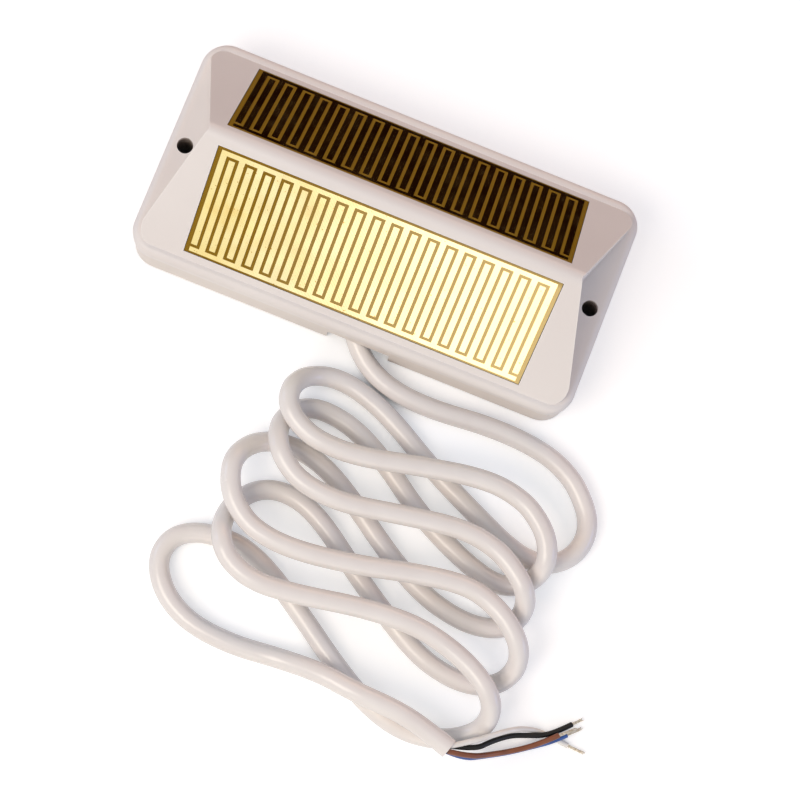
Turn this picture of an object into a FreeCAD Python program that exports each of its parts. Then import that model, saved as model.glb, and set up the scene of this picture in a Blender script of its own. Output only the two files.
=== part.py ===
import FreeCAD, Part
import math
import os
from types import SimpleNamespace

import Sketcher

# Rain sensor: a roof-shaped housing with a sensing board on each slope and a hank of cord.
# Millimetres. X runs along the ridge, Y to the back, Z up. The origin is at the middle of
# the underside, on the surface that the sensor is screwed to.

Vector = FreeCAD.Vector

# Driving sizes: alias, value, what it sets
SIZES = [
    ("housing_length", 120.0, "cover, end to end"),
    ("housing_width", 59.2, "cover, front to back"),
    ("corner_radius", 7.0, "plan corners of the cover"),
    ("parting_height", 12.5, "height of the joint between base and cover"),
    ("flange_thickness", 3.5, "edge of the cover below the roof"),
    ("rim_width", 2.4, "flat rim between the roof's foot and the edge"),
    ("rim_fillet", 1.9, "rounded upper edge of the rim"),
    ("roof_angle", 45.0, "slope of both roof sides, degrees"),
    ("ridge_radius", 2.75, "rounded ridge"),
    ("roof_corner", 3.8, "plan corners of the roof"),
    ("notch_depth", 11.0, "notch at each end, from the edge to its vertex"),
    ("notch_angle", 20.7, "notch walls against the end face, degrees"),
    ("roof_wall", 3.2, "thickness of the roof's slopes"),
    ("end_wall", 2.4, "thickness of the notch walls"),
    ("board_inset", 3.65, "ends of the sensing board from the notches' vertices"),
    ("board_foot", 2.2, "lower edge of the sensing board above the roof's foot, down the slope"),
    ("board_thickness", 1.6, "laminate"),
    ("board_drop", 4.05, "from the slopes' meeting line to the board"),
    ("board_clearance", 0.15, "gap round the board in its pocket"),
    ("seat_width", 3.0, "ledge that the board is bonded to"),
    ("comb_thickness", 0.1, "plated copper"),
    ("comb_end", 1.1, "bare laminate at the short ends"),
    ("comb_gap", 0.85, "bare laminate between the combs"),
    ("comb_bus", 1.3, "strip that joins the fingers"),
    ("comb_edge", 0.6, "bare laminate along the long edges"),
    ("heater_inset", 2.35, "heating mat from the ends of its window"),
    ("heater_margin", 2.1, "heating mat from the long sides of its window"),
    ("heater_thickness", 0.8, "heating mat under the board"),
    ("base_inset", 0.4, "base behind the cover's edge"),
    ("base_floor", 2.2, "floor of the base"),
    ("foot_fillet", 0.8, "rounded lower edge of the base"),
    ("end_block", 10.6, "solid ends of the base beside the electronics bay"),
    ("bay_corner", 3.0, "plan corners of the bay"),
    ("seal_lip", 1.0, "wall on each side of the seal"),
    ("seal_width", 1.4, "groove for the seal"),
    ("seal_depth", 1.0, "groove for the seal"),
    ("mount_inset", 4.5, "fixing holes from the ends of the cover"),
    ("mount_bore", 4.2, "fixing hole, clear of an M4 screw"),
    ("joint_wall", 2.5, "cover screws from the notch walls, along X"),
    ("joint_inset", 8.6, "cover screws from the long edges of the cover"),
    ("joint_screw_shank", 2.6, "cover screw, diameter"),
    ("joint_screw_head", 5.4, "cover screw, head diameter"),
    ("joint_screw_rise", 7.4, "cover screw above the parting line"),
    ("joint_screw_sink", 4.0, "head's bearing face above the underside"),
    ("joint_head_height", 1.9, "cover screw, height of the head"),
    ("drive_length_share", 0.7, "screwdriver slots, share of the head's diameter"),
    ("drive_width_share", 0.14, "screwdriver slots, share of the head's diameter"),
    ("drive_depth_share", 0.45, "screwdriver slots, share of the head's height"),
    ("screw_play", 0.3, "play round a screw in a through hole"),
    ("core_width", 4.6, "hollows under the ends of the base"),
    ("core_length", 9.0, "hollows under the ends of the base"),
    ("core_depth", 9.0, "hollows under the ends of the base"),
    ("recess_left_room", 4.0, "cord recess under the base, left of the cord entry"),
    ("recess_right_room", 13.0, "cord recess under the base, right of the cord entry"),
    ("recess_reach", 19.8, "cord recess from the cover's front edge to its inner face"),
    ("recess_play", 0.2, "cord recess above the grommet"),
    ("recess_wall", 1.8, "walls round the cord recess"),
    ("mouth_play", 1.6, "opening for the cord in the front wall, above the cord"),
    ("cord_diameter", 5.2, "sheath of the cord"),
    ("cord_across", -0.4, "cord entry from the middle, along X"),
    ("clamp_bed", 1.1, "plastic under the cord in the lower half of its clamp"),
    ("sleeve_wall", 0.6, "wall of the grommet inside its hole"),
    ("flange_step", 0.5, "grommet's flanges beyond its sleeve"),
    ("flange_depth", 1.0, "each flange of the grommet"),
    ("sheath_reach", 7.0, "where the sheath stops inside, behind the clamp's middle"),
    ("clamp_gap", 9.0, "middle of the cord clamp behind the recess"),
    ("clamp_length", 18.0, "cord clamp across the cord"),
    ("clamp_depth", 5.0, "cord clamp along the cord"),
    ("clamp_height", 4.2, "cord clamp"),
    ("clamp_spacing", 12.0, "between the clamp's screws"),
    ("clamp_screw", 2.0, "clamp screw, diameter"),
    ("clamp_head", 3.8, "clamp screw, head diameter"),
    ("clamp_head_height", 1.7, "clamp screw, height of the head"),
    ("main_play", 0.4, "main board from the housing's end walls"),
    ("main_margin", 4.3, "main board from the long walls of the bay"),
    ("main_thickness", 1.6, "main board"),
    ("main_corner", 2.0, "plan corners of the main board"),
    ("main_clear", 0.4, "main board above the cord recess"),
    ("post_inset", 4.0, "board posts from the edges of the main board"),
    ("post_diameter", 6.0, "board posts"),
    ("main_screw", 2.2, "main board screw, diameter"),
    ("main_head", 4.4, "main board screw, head diameter"),
    ("main_head_height", 1.7, "main board screw, height of the head"),
    ("main_bite", 6.0, "main board screw into its post"),
    ("slot_length", 14.0, "slot in the main board for the cores"),
    ("slot_width", 4.6, "slot in the main board for the cores"),
    ("slot_gap", 6.6, "middle of the slot behind the sheath's end"),
    ("terminal_pitch", 5.08, "between the poles of the terminal block"),
    ("terminal_depth", 8.0, "terminal block along Y"),
    ("terminal_height", 10.0, "terminal block"),
    ("terminal_mouth", 2.8, "square opening of each pole"),
    ("terminal_level", 4.0, "middle of the openings above the board"),
    ("terminal_reach", 5.6, "depth of the openings"),
    ("well_diameter", 3.0, "wells over the terminal screws"),
    ("well_depth", 1.2, "wells over the terminal screws"),
    ("well_along", 3.2, "wells from the block's front face"),
    ("core_diameter", 1.4, "insulated core of the cord"),
    ("strand_diameter", 0.8, "tinned end of a core"),
    ("core_offset", 1.1, "cores from the middle of the sheath"),
    ("core_fan", 1.0, "step between the cores inside, where the sheath ends"),
    ("core_stagger", 0.3, "middle cores above the outer ones, each way"),
    ("core_spread", 3.56, "step between the cores in the main board's slot"),
    ("core_run", 1.0, "straight run of the cores in front of the terminal block"),
    ("cord_bend", 20.0, "radius of the cord's bend out of the recess"),
    ("cord_rest", 0.05, "clear height under the cord"),
    ("bend_angle", 40.0, "middle point of that bend, degrees turned"),
    ("bend_share", 0.2, "height left at that point, share of the whole fall"),
    ("strand_dip", 0.3, "rise of a strand where the next one crosses over it"),
    ("strand_cross", 6.28, "rise of a strand where it crosses over another"),
    ("strand_span", 7.27, "rise of the strands on top of the hank"),
    ("relay_length", 18.0, "relay along X"),
    ("relay_width", 10.2, "relay along Y"),
    ("relay_height", 15.2, "relay"),
    ("relay_edge", 0.8, "rounded edges of the relay"),
    ("relay_gap", 1.6, "relay from the lead headers, along X"),
    ("capacitor_diameter", 10.0, "smoothing capacitor"),
    ("capacitor_height", 16.0, "smoothing capacitor"),
    ("crimp_low", 1.2, "lower edge of the capacitor's crimp"),
    ("crimp_rise", 0.6, "half height of the crimp"),
    ("crimp_depth", 0.5, "depth of the crimp"),
    ("can_edge", 1.0, "rounded top of the capacitor"),
    ("capacitor_gap", 1.5, "smoothing capacitor from the terminal block"),
    ("regulator_width", 10.2, "voltage regulator"),
    ("regulator_depth", 4.5, "voltage regulator"),
    ("regulator_height", 9.2, "moulded body of the voltage regulator"),
    ("regulator_tab", 14.8, "height of the regulator's metal tab"),
    ("tab_thickness", 1.3, "regulator's metal tab"),
    ("tab_hole", 3.6, "hole in the tab"),
    ("tab_hole_drop", 3.0, "hole below the tab's top"),
    ("leg_length", 2.5, "regulator's legs"),
    ("leg_width", 0.8, "regulator's legs"),
    ("leg_thickness", 0.5, "regulator's legs"),
    ("regulator_lift", 2.0, "regulator's body above the board"),
    ("regulator_gap", 1.5, "voltage regulator from the capacitor"),
    ("chip_length", 12.8, "controller chip"),
    ("chip_width", 7.5, "controller chip"),
    ("chip_height", 2.3, "controller chip"),
    ("chip_inset", 9.0, "middle of the controller chip from the main board's front edge"),
    ("chip_lift", 0.2, "chip's body above the board"),
    ("chip_pin_width", 0.42, "pins of the chip"),
    ("chip_pin_reach", 1.4, "pins beyond the chip's sides"),
    ("chip_pin_thickness", 0.25, "pins of the chip"),
    ("chip_pin_pitch", 1.27, "between the pins on one side"),
    ("bridge_length", 8.5, "rectifier"),
    ("bridge_width", 6.4, "rectifier"),
    ("bridge_height", 3.3, "rectifier"),
    ("bridge_gap", 0.6, "rectifier from the terminal block, along X"),
    ("bridge_inset", 9.1, "rectifier from the main board's front edge"),
    ("varistor_diameter", 9.0, "surge absorber"),
    ("varistor_depth", 4.0, "surge absorber"),
    ("varistor_inset", 6.5, "surge absorber from the main board's back edge"),
    ("header_gap", 2.4, "lead headers from the main board's slot, along X"),
    ("header_inset", 8.5, "middle of the lead headers from the main board's long edges"),
    ("header_side", 0.22, "lead header beyond the ribbon, each side"),
    ("header_width", 5.0, "lead header"),
    ("header_height", 7.4, "lead header"),
    ("lead_pitch", 2.54, "between the leads of a sensing board and between the regulator's legs"),
    ("ribbon_thickness", 1.0, "flat ribbon that holds the leads of a sensing board"),
    ("lead_start", 1.0, "ribbon from the seat, down the slope"),
    ("lead_stub", 1.5, "straight start of the ribbon"),
    ("lead_bend_out", 7.0, "where the ribbon turns down, along Y"),
    ("lead_bend_drop", 15.2, "where the ribbon turns down, below the ridge"),
    ("tool_overrun", 1.0, "how far a cutting tool reaches past what it cuts"),
]

# The hank: middle and radius of each turn as it lies on the surface, nearest the housing first.
# The right turns run clockwise seen from above, the left ones anticlockwise.
RIGHT_TURNS = [(62.4, -49.4, 12.9), (57.7, -61.7, 12.1), (56.8, -75.1, 10.5), (59.0, -89.7, 10.5),
               (59.2, -105.0, 11.0)]
LEFT_TURNS = [(1.1, -46.6, 8.2), (3.4, -57.7, 10.7), (0.1, -72.1, 11.7), (0.0, -84.0, 12.3),
              (-8.8, -100.6, 12.7)]
# Where the last strand starts to climb over its neighbour, where it is up, and where the sheath ends
LAST_CLIMB = (24.0, -112.9)
LAST_TOP = (39.0, -113.2)
SHEATH_STOP = (62.6, -116.5)
# Free cores beyond the sheath, each point chosen by hand; the last one is the tip of the bare strands
CORE_ROUTES = {
    "white_core": [(67.9, -112.4, 10.2), (76.0, -105.9, 6.4), (81.3, -103.7, 1.9), (85.8, -103.7, 0.8),
                   (91.3, -104.3, 0.8), (96.0, -104.6, 0.8)],
    "black_core": [(68.9, -114.2, 8.6), (73.2, -110.6, 6.6), (78.3, -107.6, 3.7), (83.0, -105.2, 2.9),
                   (87.0, -101.6, 2.5), (90.3, -98.9, 1.2), (92.7, -96.7, 0.8)],
    "brown_core": [(68.1, -116.5, 9.4), (73.6, -113.6, 5.3), (79.2, -110.3, 2.9), (84.2, -106.6, 3.2),
                   (88.0, -102.8, 3.6), (91.8, -99.6, 2.5)],
    "blue_core": [(67.9, -117.6, 6.8), (73.6, -114.9, 3.2), (79.3, -112.1, 1.3), (84.9, -108.0, 2.1),
                  (89.0, -104.1, 2.6), (91.2, -101.4, 1.2), (93.8, -98.7, 0.8)],
}

doc = FreeCAD.newDocument("RainSensor")
sheet = doc.addObject("Spreadsheet::Sheet", "Sizes")
for row, (alias, value, note) in enumerate(SIZES, start=1):
    sheet.set("A%d" % row, alias)
    sheet.set("B%d" % row, str(value))
    sheet.set("C%d" % row, note)
    sheet.setAlias("B%d" % row, alias)
doc.recompute()


# Sizes that stay tied to the sheet

class Size:
    """A size with its value now and the expression that keeps it tied to the sheet."""

    def __init__(self, value, text):
        self.value = value
        self.text = text

    def __add__(self, other):
        other = as_size(other)
        return Size(self.value + other.value, "(%s + %s)" % (self.text, other.text))

    def __sub__(self, other):
        other = as_size(other)
        return Size(self.value - other.value, "(%s - %s)" % (self.text, other.text))

    def __mul__(self, other):
        other = as_size(other)
        return Size(self.value * other.value, "(%s * %s)" % (self.text, other.text))

    def __truediv__(self, other):
        other = as_size(other)
        return Size(self.value / other.value, "(%s / %s)" % (self.text, other.text))

    def __neg__(self):
        return self * -1


def as_size(number):
    if isinstance(number, Size):
        return number
    return Size(float(number), "(%r)" % float(number))


def sine(angle):
    return Size(math.sin(math.radians(angle.value)), "sin(%s)" % angle.text)


def cosine(angle):
    return Size(math.cos(math.radians(angle.value)), "cos(%s)" % angle.text)


S = SimpleNamespace(**{alias: Size(getattr(sheet, alias), "Sizes." + alias)
                       for alias, value, note in SIZES})
ZERO = as_size(0)
# Lengths and areas below this count as nothing
TINY = 1e-6
# Counts: fingers of the comb that has fewer, poles, leads, and points for each cord diameter
COMB_FINGERS = 18
POLES = 4
LEADS = 4
CHIP_PINS = 10
SAMPLES = 4

# Sizes worked out from the driving ones: the housing
half_length = S.housing_length / 2
half_width = S.housing_width / 2
roof_half = half_width - S.rim_width
roof_fall = sine(S.roof_angle) / cosine(S.roof_angle)
rim_top = S.parting_height + S.flange_thickness
apex = rim_top + roof_half * roof_fall
notch_vertex = half_length - S.notch_depth
notch_spread = sine(S.notch_angle) / cosine(S.notch_angle)
core_vertex = notch_vertex - S.end_wall / cosine(S.notch_angle)
bay_half_length = half_length - S.end_block
bay_half_width = half_width - S.base_inset - S.seal_lip * 2 - S.seal_width
mount_across = half_length - S.mount_inset
joint_along = half_width - S.joint_inset
joint_across = notch_vertex + joint_along * notch_spread - S.joint_wall

# The sensing boards and their combs
board_length = (notch_vertex - S.board_inset) * 2
board_width = roof_half / cosine(S.roof_angle) - S.board_drop - S.board_foot
board_middle = S.board_drop + board_width / 2
board_out = board_middle * cosine(S.roof_angle)
board_up = apex - board_middle * sine(S.roof_angle)
window_length = board_length - S.seat_width * 2
window_width = board_width - S.seat_width * 2
comb_pitch = (board_length - S.comb_end * 2 + S.comb_gap) / (COMB_FINGERS + 0.5)
finger_width = comb_pitch / 2 - S.comb_gap

# The cord, its recess and its clamp
cord_radius = S.cord_diameter / 2
entry_height = S.base_floor + S.clamp_bed + cord_radius
sleeve_radius = cord_radius + S.sleeve_wall
flange_radius = sleeve_radius + S.flange_step
recess_left = S.cord_across - S.recess_left_room
recess_right = S.cord_across + S.recess_right_room
recess_back = S.recess_reach - half_width
recess_height = entry_height + flange_radius + S.recess_play
recess_roof = recess_height + S.recess_wall
mouth_height = S.cord_diameter + S.mouth_play
grommet_front = recess_back - S.flange_depth
grommet_inner = recess_back + S.recess_wall
clamp_along = grommet_inner + S.clamp_gap
clamp_front = clamp_along - S.clamp_depth / 2
clamp_top = entry_height + S.clamp_height
sheath_end = clamp_along + S.sheath_reach

# The main board and what stands on it
main_half_length = core_vertex - S.main_play
main_half_width = bay_half_width - S.main_margin
main_height = recess_roof + S.main_clear
main_top = main_height + S.main_thickness
slot_along = sheath_end + S.slot_gap
terminal_half = S.terminal_pitch * POLES / 2
terminal_left = S.cord_across - terminal_half
terminal_level = main_top + S.terminal_level
header_length = S.lead_pitch * LEADS + S.header_side * 2
header_across = S.cord_across + S.slot_length / 2 + S.header_gap + header_length / 2
header_along = main_half_width - S.header_inset
relay_left = header_across + header_length / 2 + S.relay_gap
capacitor_across = terminal_left - S.capacitor_gap - S.capacitor_diameter / 2
regulator_right = capacitor_across - S.capacitor_diameter / 2 - S.regulator_gap

KEPT = []


def keep(solid, label):
    """Marks a finished sub-part, whose label names its file."""
    solid.Label = label
    KEPT.append(solid)
    return solid


# Drawing helpers

def bind(target, path, size):
    target.setExpression(path, as_size(size).text)


def bind_place(target, across, along, up):
    bind(target, "Placement.Base.x", across)
    bind(target, "Placement.Base.y", along)
    bind(target, "Placement.Base.z", up)


def new_body(name):
    return doc.addObject("PartDesign::Body", name)


def origin_part(body, role):
    for feature in body.Origin.OriginFeatures:
        if feature.Role == role:
            return feature
    raise ValueError(role)


def new_sketch(body, name, role, offset):
    sketch = body.newObject("Sketcher::SketchObject", name)
    sketch.AttachmentSupport = (origin_part(body, role), [""])
    sketch.MapMode = "FlatFace"
    bind(sketch, "AttachmentOffset.Base.z", offset)
    return sketch


def arc_between(start, end, radius, bulge):
    """An arc from start to end whose middle lies to the right of the way when bulge is 1."""
    chord = end - start
    half = chord.Length / 2
    depth = radius - math.sqrt(max(radius * radius - half * half, 0.0))
    across = Vector(chord.y, -chord.x, 0) * (bulge * depth / chord.Length)
    return Part.Arc(start, start + chord * 0.5 + across, end)


def draw_loop(sketch, corners, arcs):
    """Draws one closed loop: straight sides, or arcs where arcs names a side's radius and bulge."""
    first = sketch.GeometryCount
    count = len(corners)
    points = [Vector(as_size(x).value, as_size(y).value, 0) for x, y in corners]
    starts = []
    for index in range(count):
        start = points[index]
        end = points[(index + 1) % count]
        if index in arcs:
            radius, bulge = arcs[index]
            sketch.addGeometry(arc_between(start, end, as_size(radius).value, bulge))
            # a sketch arc always runs anticlockwise, so one that bulges left starts at its end
            starts.append(1 if bulge > 0 else 2)
        else:
            sketch.addGeometry(Part.LineSegment(start, end))
            starts.append(1)
    for index in range(count):
        following = (index + 1) % count
        end_of_side = 3 - starts[index]
        sketch.addConstraint(Sketcher.Constraint(
            "Coincident", first + index, end_of_side, first + following, starts[following]))
    for index, (across, up) in enumerate(corners):
        for kind, size in (("DistanceX", across), ("DistanceY", up)):
            size = as_size(size)
            place = sketch.addConstraint(Sketcher.Constraint(
                kind, -1, 1, first + index, starts[index], size.value))
            sketch.setExpression("Constraints[%d]" % place, size.text)
    for index, (radius, bulge) in arcs.items():
        radius = as_size(radius)
        place = sketch.addConstraint(Sketcher.Constraint("Radius", first + index, radius.value))
        sketch.setExpression("Constraints[%d]" % place, radius.text)


def outline(body, name, role, loops, offset=ZERO):
    sketch = new_sketch(body, name, role, offset)
    for loop in loops:
        corners, arcs = loop
        draw_loop(sketch, corners, arcs)
    return sketch


def straight(corners):
    return corners, {}


def rectangle(left, right, front, back):
    return straight([(left, front), (right, front), (right, back), (left, back)])


def rounded(half_x, half_y, radius):
    """A rectangle about the origin with rounded corners."""
    x_in = half_x - radius
    y_in = half_y - radius
    corners = [
        (-x_in, -half_y), (x_in, -half_y), (half_x, -y_in), (half_x, y_in),
        (x_in, half_y), (-x_in, half_y), (-half_x, y_in), (-half_x, -y_in),
    ]
    return corners, {side: (radius, 1) for side in (1, 3, 5, 7)}


def circles(body, name, role, places, radius, offset=ZERO):
    sketch = new_sketch(body, name, role, offset)
    radius = as_size(radius)
    for index, (across, up) in enumerate(places):
        centre = Vector(as_size(across).value, as_size(up).value, 0)
        sketch.addGeometry(Part.Circle(centre, Vector(0, 0, 1), radius.value))
        for kind, size in (("DistanceX", across), ("DistanceY", up)):
            size = as_size(size)
            place = sketch.addConstraint(Sketcher.Constraint(kind, -1, 1, index, 3, size.value))
            sketch.setExpression("Constraints[%d]" % place, size.text)
        place = sketch.addConstraint(Sketcher.Constraint("Radius", index, radius.value))
        sketch.setExpression("Constraints[%d]" % place, radius.text)
    return sketch


def pad(body, name, sketch, length, symmetric=False):
    feature = body.newObject("PartDesign::Pad", name)
    feature.Profile = sketch
    bind(feature, "Length", length)
    if symmetric:
        feature.SideType = "Symmetric"
    doc.recompute()
    return feature


def pocket(body, name, sketch, length, upward=False, symmetric=False):
    """Cuts against the sketch's normal, or along it when upward is set."""
    before = body.Tip.Shape.Volume
    feature = body.newObject("PartDesign::Pocket", name)
    feature.Profile = sketch
    bind(feature, "Length", length)
    feature.Reversed = upward
    if symmetric:
        feature.SideType = "Symmetric"
    doc.recompute()
    if feature.Shape.Volume > before - TINY:
        raise RuntimeError("%s cuts nothing" % name)
    return feature


def round_edges(body, name, radius, wanted):
    """Rounds the edges of the body's last feature that the test picks."""
    last = body.Tip
    names = ["Edge%d" % (n + 1) for n, edge in enumerate(last.Shape.Edges) if wanted(edge)]
    feature = body.newObject("PartDesign::Fillet", name)
    feature.Base = (last, names)
    bind(feature, "Radius", radius)
    doc.recompute()
    return feature


def is_upright(edge):
    box = edge.BoundBox
    return box.XLength < TINY and box.YLength < TINY


def lies_at(edge, height):
    box = edge.BoundBox
    return abs(box.ZMin - height) < TINY and abs(box.ZMax - height) < TINY


def block(name, length, width, height, left, front, bottom):
    solid = doc.addObject("Part::Box", name)
    bind(solid, "Length", length)
    bind(solid, "Width", width)
    bind(solid, "Height", height)
    bind_place(solid, left, front, bottom)
    return solid


def rod(name, radius, height, across, along, bottom):
    solid = doc.addObject("Part::Cylinder", name)
    bind(solid, "Radius", radius)
    bind(solid, "Height", height)
    bind_place(solid, across, along, bottom)
    return solid


def joined(name, pieces):
    solid = doc.addObject("Part::MultiFuse", name)
    solid.Shapes = pieces
    return solid


def less(name, solid, tools):
    """The solid without its tools."""
    tool = tools[0] if len(tools) == 1 else joined(name + "Tools", tools)
    result = doc.addObject("Part::Cut", name)
    result.Base = solid
    result.Tool = tool
    return result


def group(name, pieces):
    """Alike solids that share one sub-part."""
    result = doc.addObject("Part::Compound", name)
    result.Links = pieces
    return result


# The two slopes: side -1 is the front, 1 the back

SIDES = (("front", -1), ("back", 1))


def lay_on_slope(target, side, out, up):
    """Tilts a flat piece to the slope's angle and moves its own origin to a place on the slope."""
    target.Placement = FreeCAD.Placement(Vector(), FreeCAD.Rotation(Vector(-side, 0, 0), 45))
    bind(target, "Placement.Rotation.Angle", S.roof_angle)
    bind_place(target, ZERO, out, up)


def slope_block(name, side, length, width, bottom, height):
    """A block centred on the board's place, from bottom to bottom + height above the slope."""
    solid = doc.addObject("Part::Box", name)
    bind(solid, "Length", length)
    bind(solid, "Width", width)
    bind(solid, "Height", height)
    reach = width / 2
    lift = as_size(bottom)
    # the block's own corner, turned with the slope; its +Y stays towards the object's +Y
    out = board_out * side - reach * cosine(S.roof_angle) + lift * sine(S.roof_angle) * side
    up = board_up + reach * sine(S.roof_angle) * side + lift * cosine(S.roof_angle)
    lay_on_slope(solid, side, out, up)
    bind(solid, "Placement.Base.x", -(length / 2))
    return solid


# Housing

def trim_to_roof(body, name, half_foot, foot_height, top, reach, radius=None):
    """Cuts away all that lies above the two slopes, along the whole length."""
    far = half_width + S.tool_overrun
    high = top + S.tool_overrun
    if radius is None:
        corners = [(half_foot, foot_height), (far, foot_height), (far, high), (-far, high),
                   (-far, foot_height), (-half_foot, foot_height), (ZERO, top)]
        arcs = {}
    else:
        out = radius * sine(S.roof_angle)
        crown = top - out * roof_fall
        corners = [(half_foot, foot_height), (far, foot_height), (far, high), (-far, high),
                   (-far, foot_height), (-half_foot, foot_height), (-out, crown), (out, crown)]
        arcs = {6: (radius, -1)}
    sketch = outline(body, name + "Sketch", "YZ_Plane", [(corners, arcs)])
    return pocket(body, name, sketch, reach, symmetric=True)


def notched_plan():
    """The roof seen from above: straight along both feet, a wide notch at each end, round corners."""
    tip = notch_vertex + roof_half * notch_spread
    half_turn = (as_size(90) - S.notch_angle) / 2
    trim = S.roof_corner * cosine(half_turn) / sine(half_turn)
    foot = tip - trim
    wall_x = tip - trim * sine(S.notch_angle)
    wall_y = roof_half - trim * cosine(S.notch_angle)
    corners = [
        (-foot, -roof_half), (foot, -roof_half), (wall_x, -wall_y), (notch_vertex, ZERO),
        (wall_x, wall_y), (foot, roof_half), (-foot, roof_half), (-wall_x, wall_y),
        (-notch_vertex, ZERO), (-wall_x, -wall_y),
    ]
    return corners, {side: (S.roof_corner, 1) for side in (1, 4, 6, 9)}


def make_cover_form():
    """The cover's outside: the flange with its rim, and the roof with a notch at each end."""
    body = new_body("CoverForm")
    plan = outline(body, "FlangePlan", "XY_Plane",
                   [rounded(half_length, half_width, S.corner_radius)], S.parting_height)
    pad(body, "Flange", plan, S.flange_thickness)
    roof_plan = outline(body, "RoofPlan", "XY_Plane", [notched_plan()], rim_top)
    round_edges(body, "RimEdge", S.rim_fillet, lambda edge: lies_at(edge, rim_top.value))
    pad(body, "Roof", roof_plan, apex - rim_top)
    trim_to_roof(body, "Slopes", roof_half, rim_top, apex, S.housing_length, S.ridge_radius)
    return body


def make_cover_core():
    """The space inside the cover, cored from below."""
    body = new_body("CoverCore")
    shoulder = (bay_half_length - core_vertex) / notch_spread
    plan = outline(body, "CorePlan", "XY_Plane", [straight([
        (core_vertex, ZERO), (bay_half_length, shoulder), (bay_half_length, bay_half_width),
        (-bay_half_length, bay_half_width), (-bay_half_length, shoulder), (-core_vertex, ZERO),
        (-bay_half_length, -shoulder), (-bay_half_length, -bay_half_width),
        (bay_half_length, -bay_half_width), (bay_half_length, -shoulder)])], S.parting_height)
    inner_apex = apex - S.roof_wall / cosine(S.roof_angle)
    pad(body, "Core", plan, inner_apex - S.parting_height)
    inner_foot = (inner_apex - S.parting_height) / roof_fall
    trim_to_roof(body, "CoreSlopes", inner_foot, S.parting_height, inner_apex, S.housing_length)
    return body


JOINT_SCREWS = [(joint_across * x, joint_along * y) for x in (-1, 1) for y in (-1, 1)]
MOUNT_HOLES = [(mount_across * x, ZERO) for x in (-1, 1)]


def make_cover():
    tools = [make_cover_core()]
    pocket_length = board_length + S.board_clearance * 2
    pocket_width = board_width + S.board_clearance * 2
    depth = S.board_thickness + S.comb_thickness
    for label, side in SIDES:
        tools.append(slope_block(label + "Pocket", side, pocket_length, pocket_width, -depth,
                                 depth + S.tool_overrun))
        tools.append(slope_block(label + "Window", side, window_length, window_width,
                                 -(S.roof_wall + S.tool_overrun), S.roof_wall + S.tool_overrun))
    for index, (across, along) in enumerate(MOUNT_HOLES):
        tools.append(rod("CoverMount%d" % index, S.mount_bore / 2, S.flange_thickness + S.tool_overrun * 2,
                         across, along, S.parting_height - S.tool_overrun))
    for index, (across, along) in enumerate(JOINT_SCREWS):
        tools.append(rod("CoverPilot%d" % index, S.joint_screw_shank / 2,
                         S.joint_screw_rise + S.tool_overrun, across, along,
                         S.parting_height - S.tool_overrun))
    keep(less("Cover", make_cover_form(), tools), "cover")


def recess_loop(front, back):
    return rectangle(recess_left, recess_right, front, back)


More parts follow.
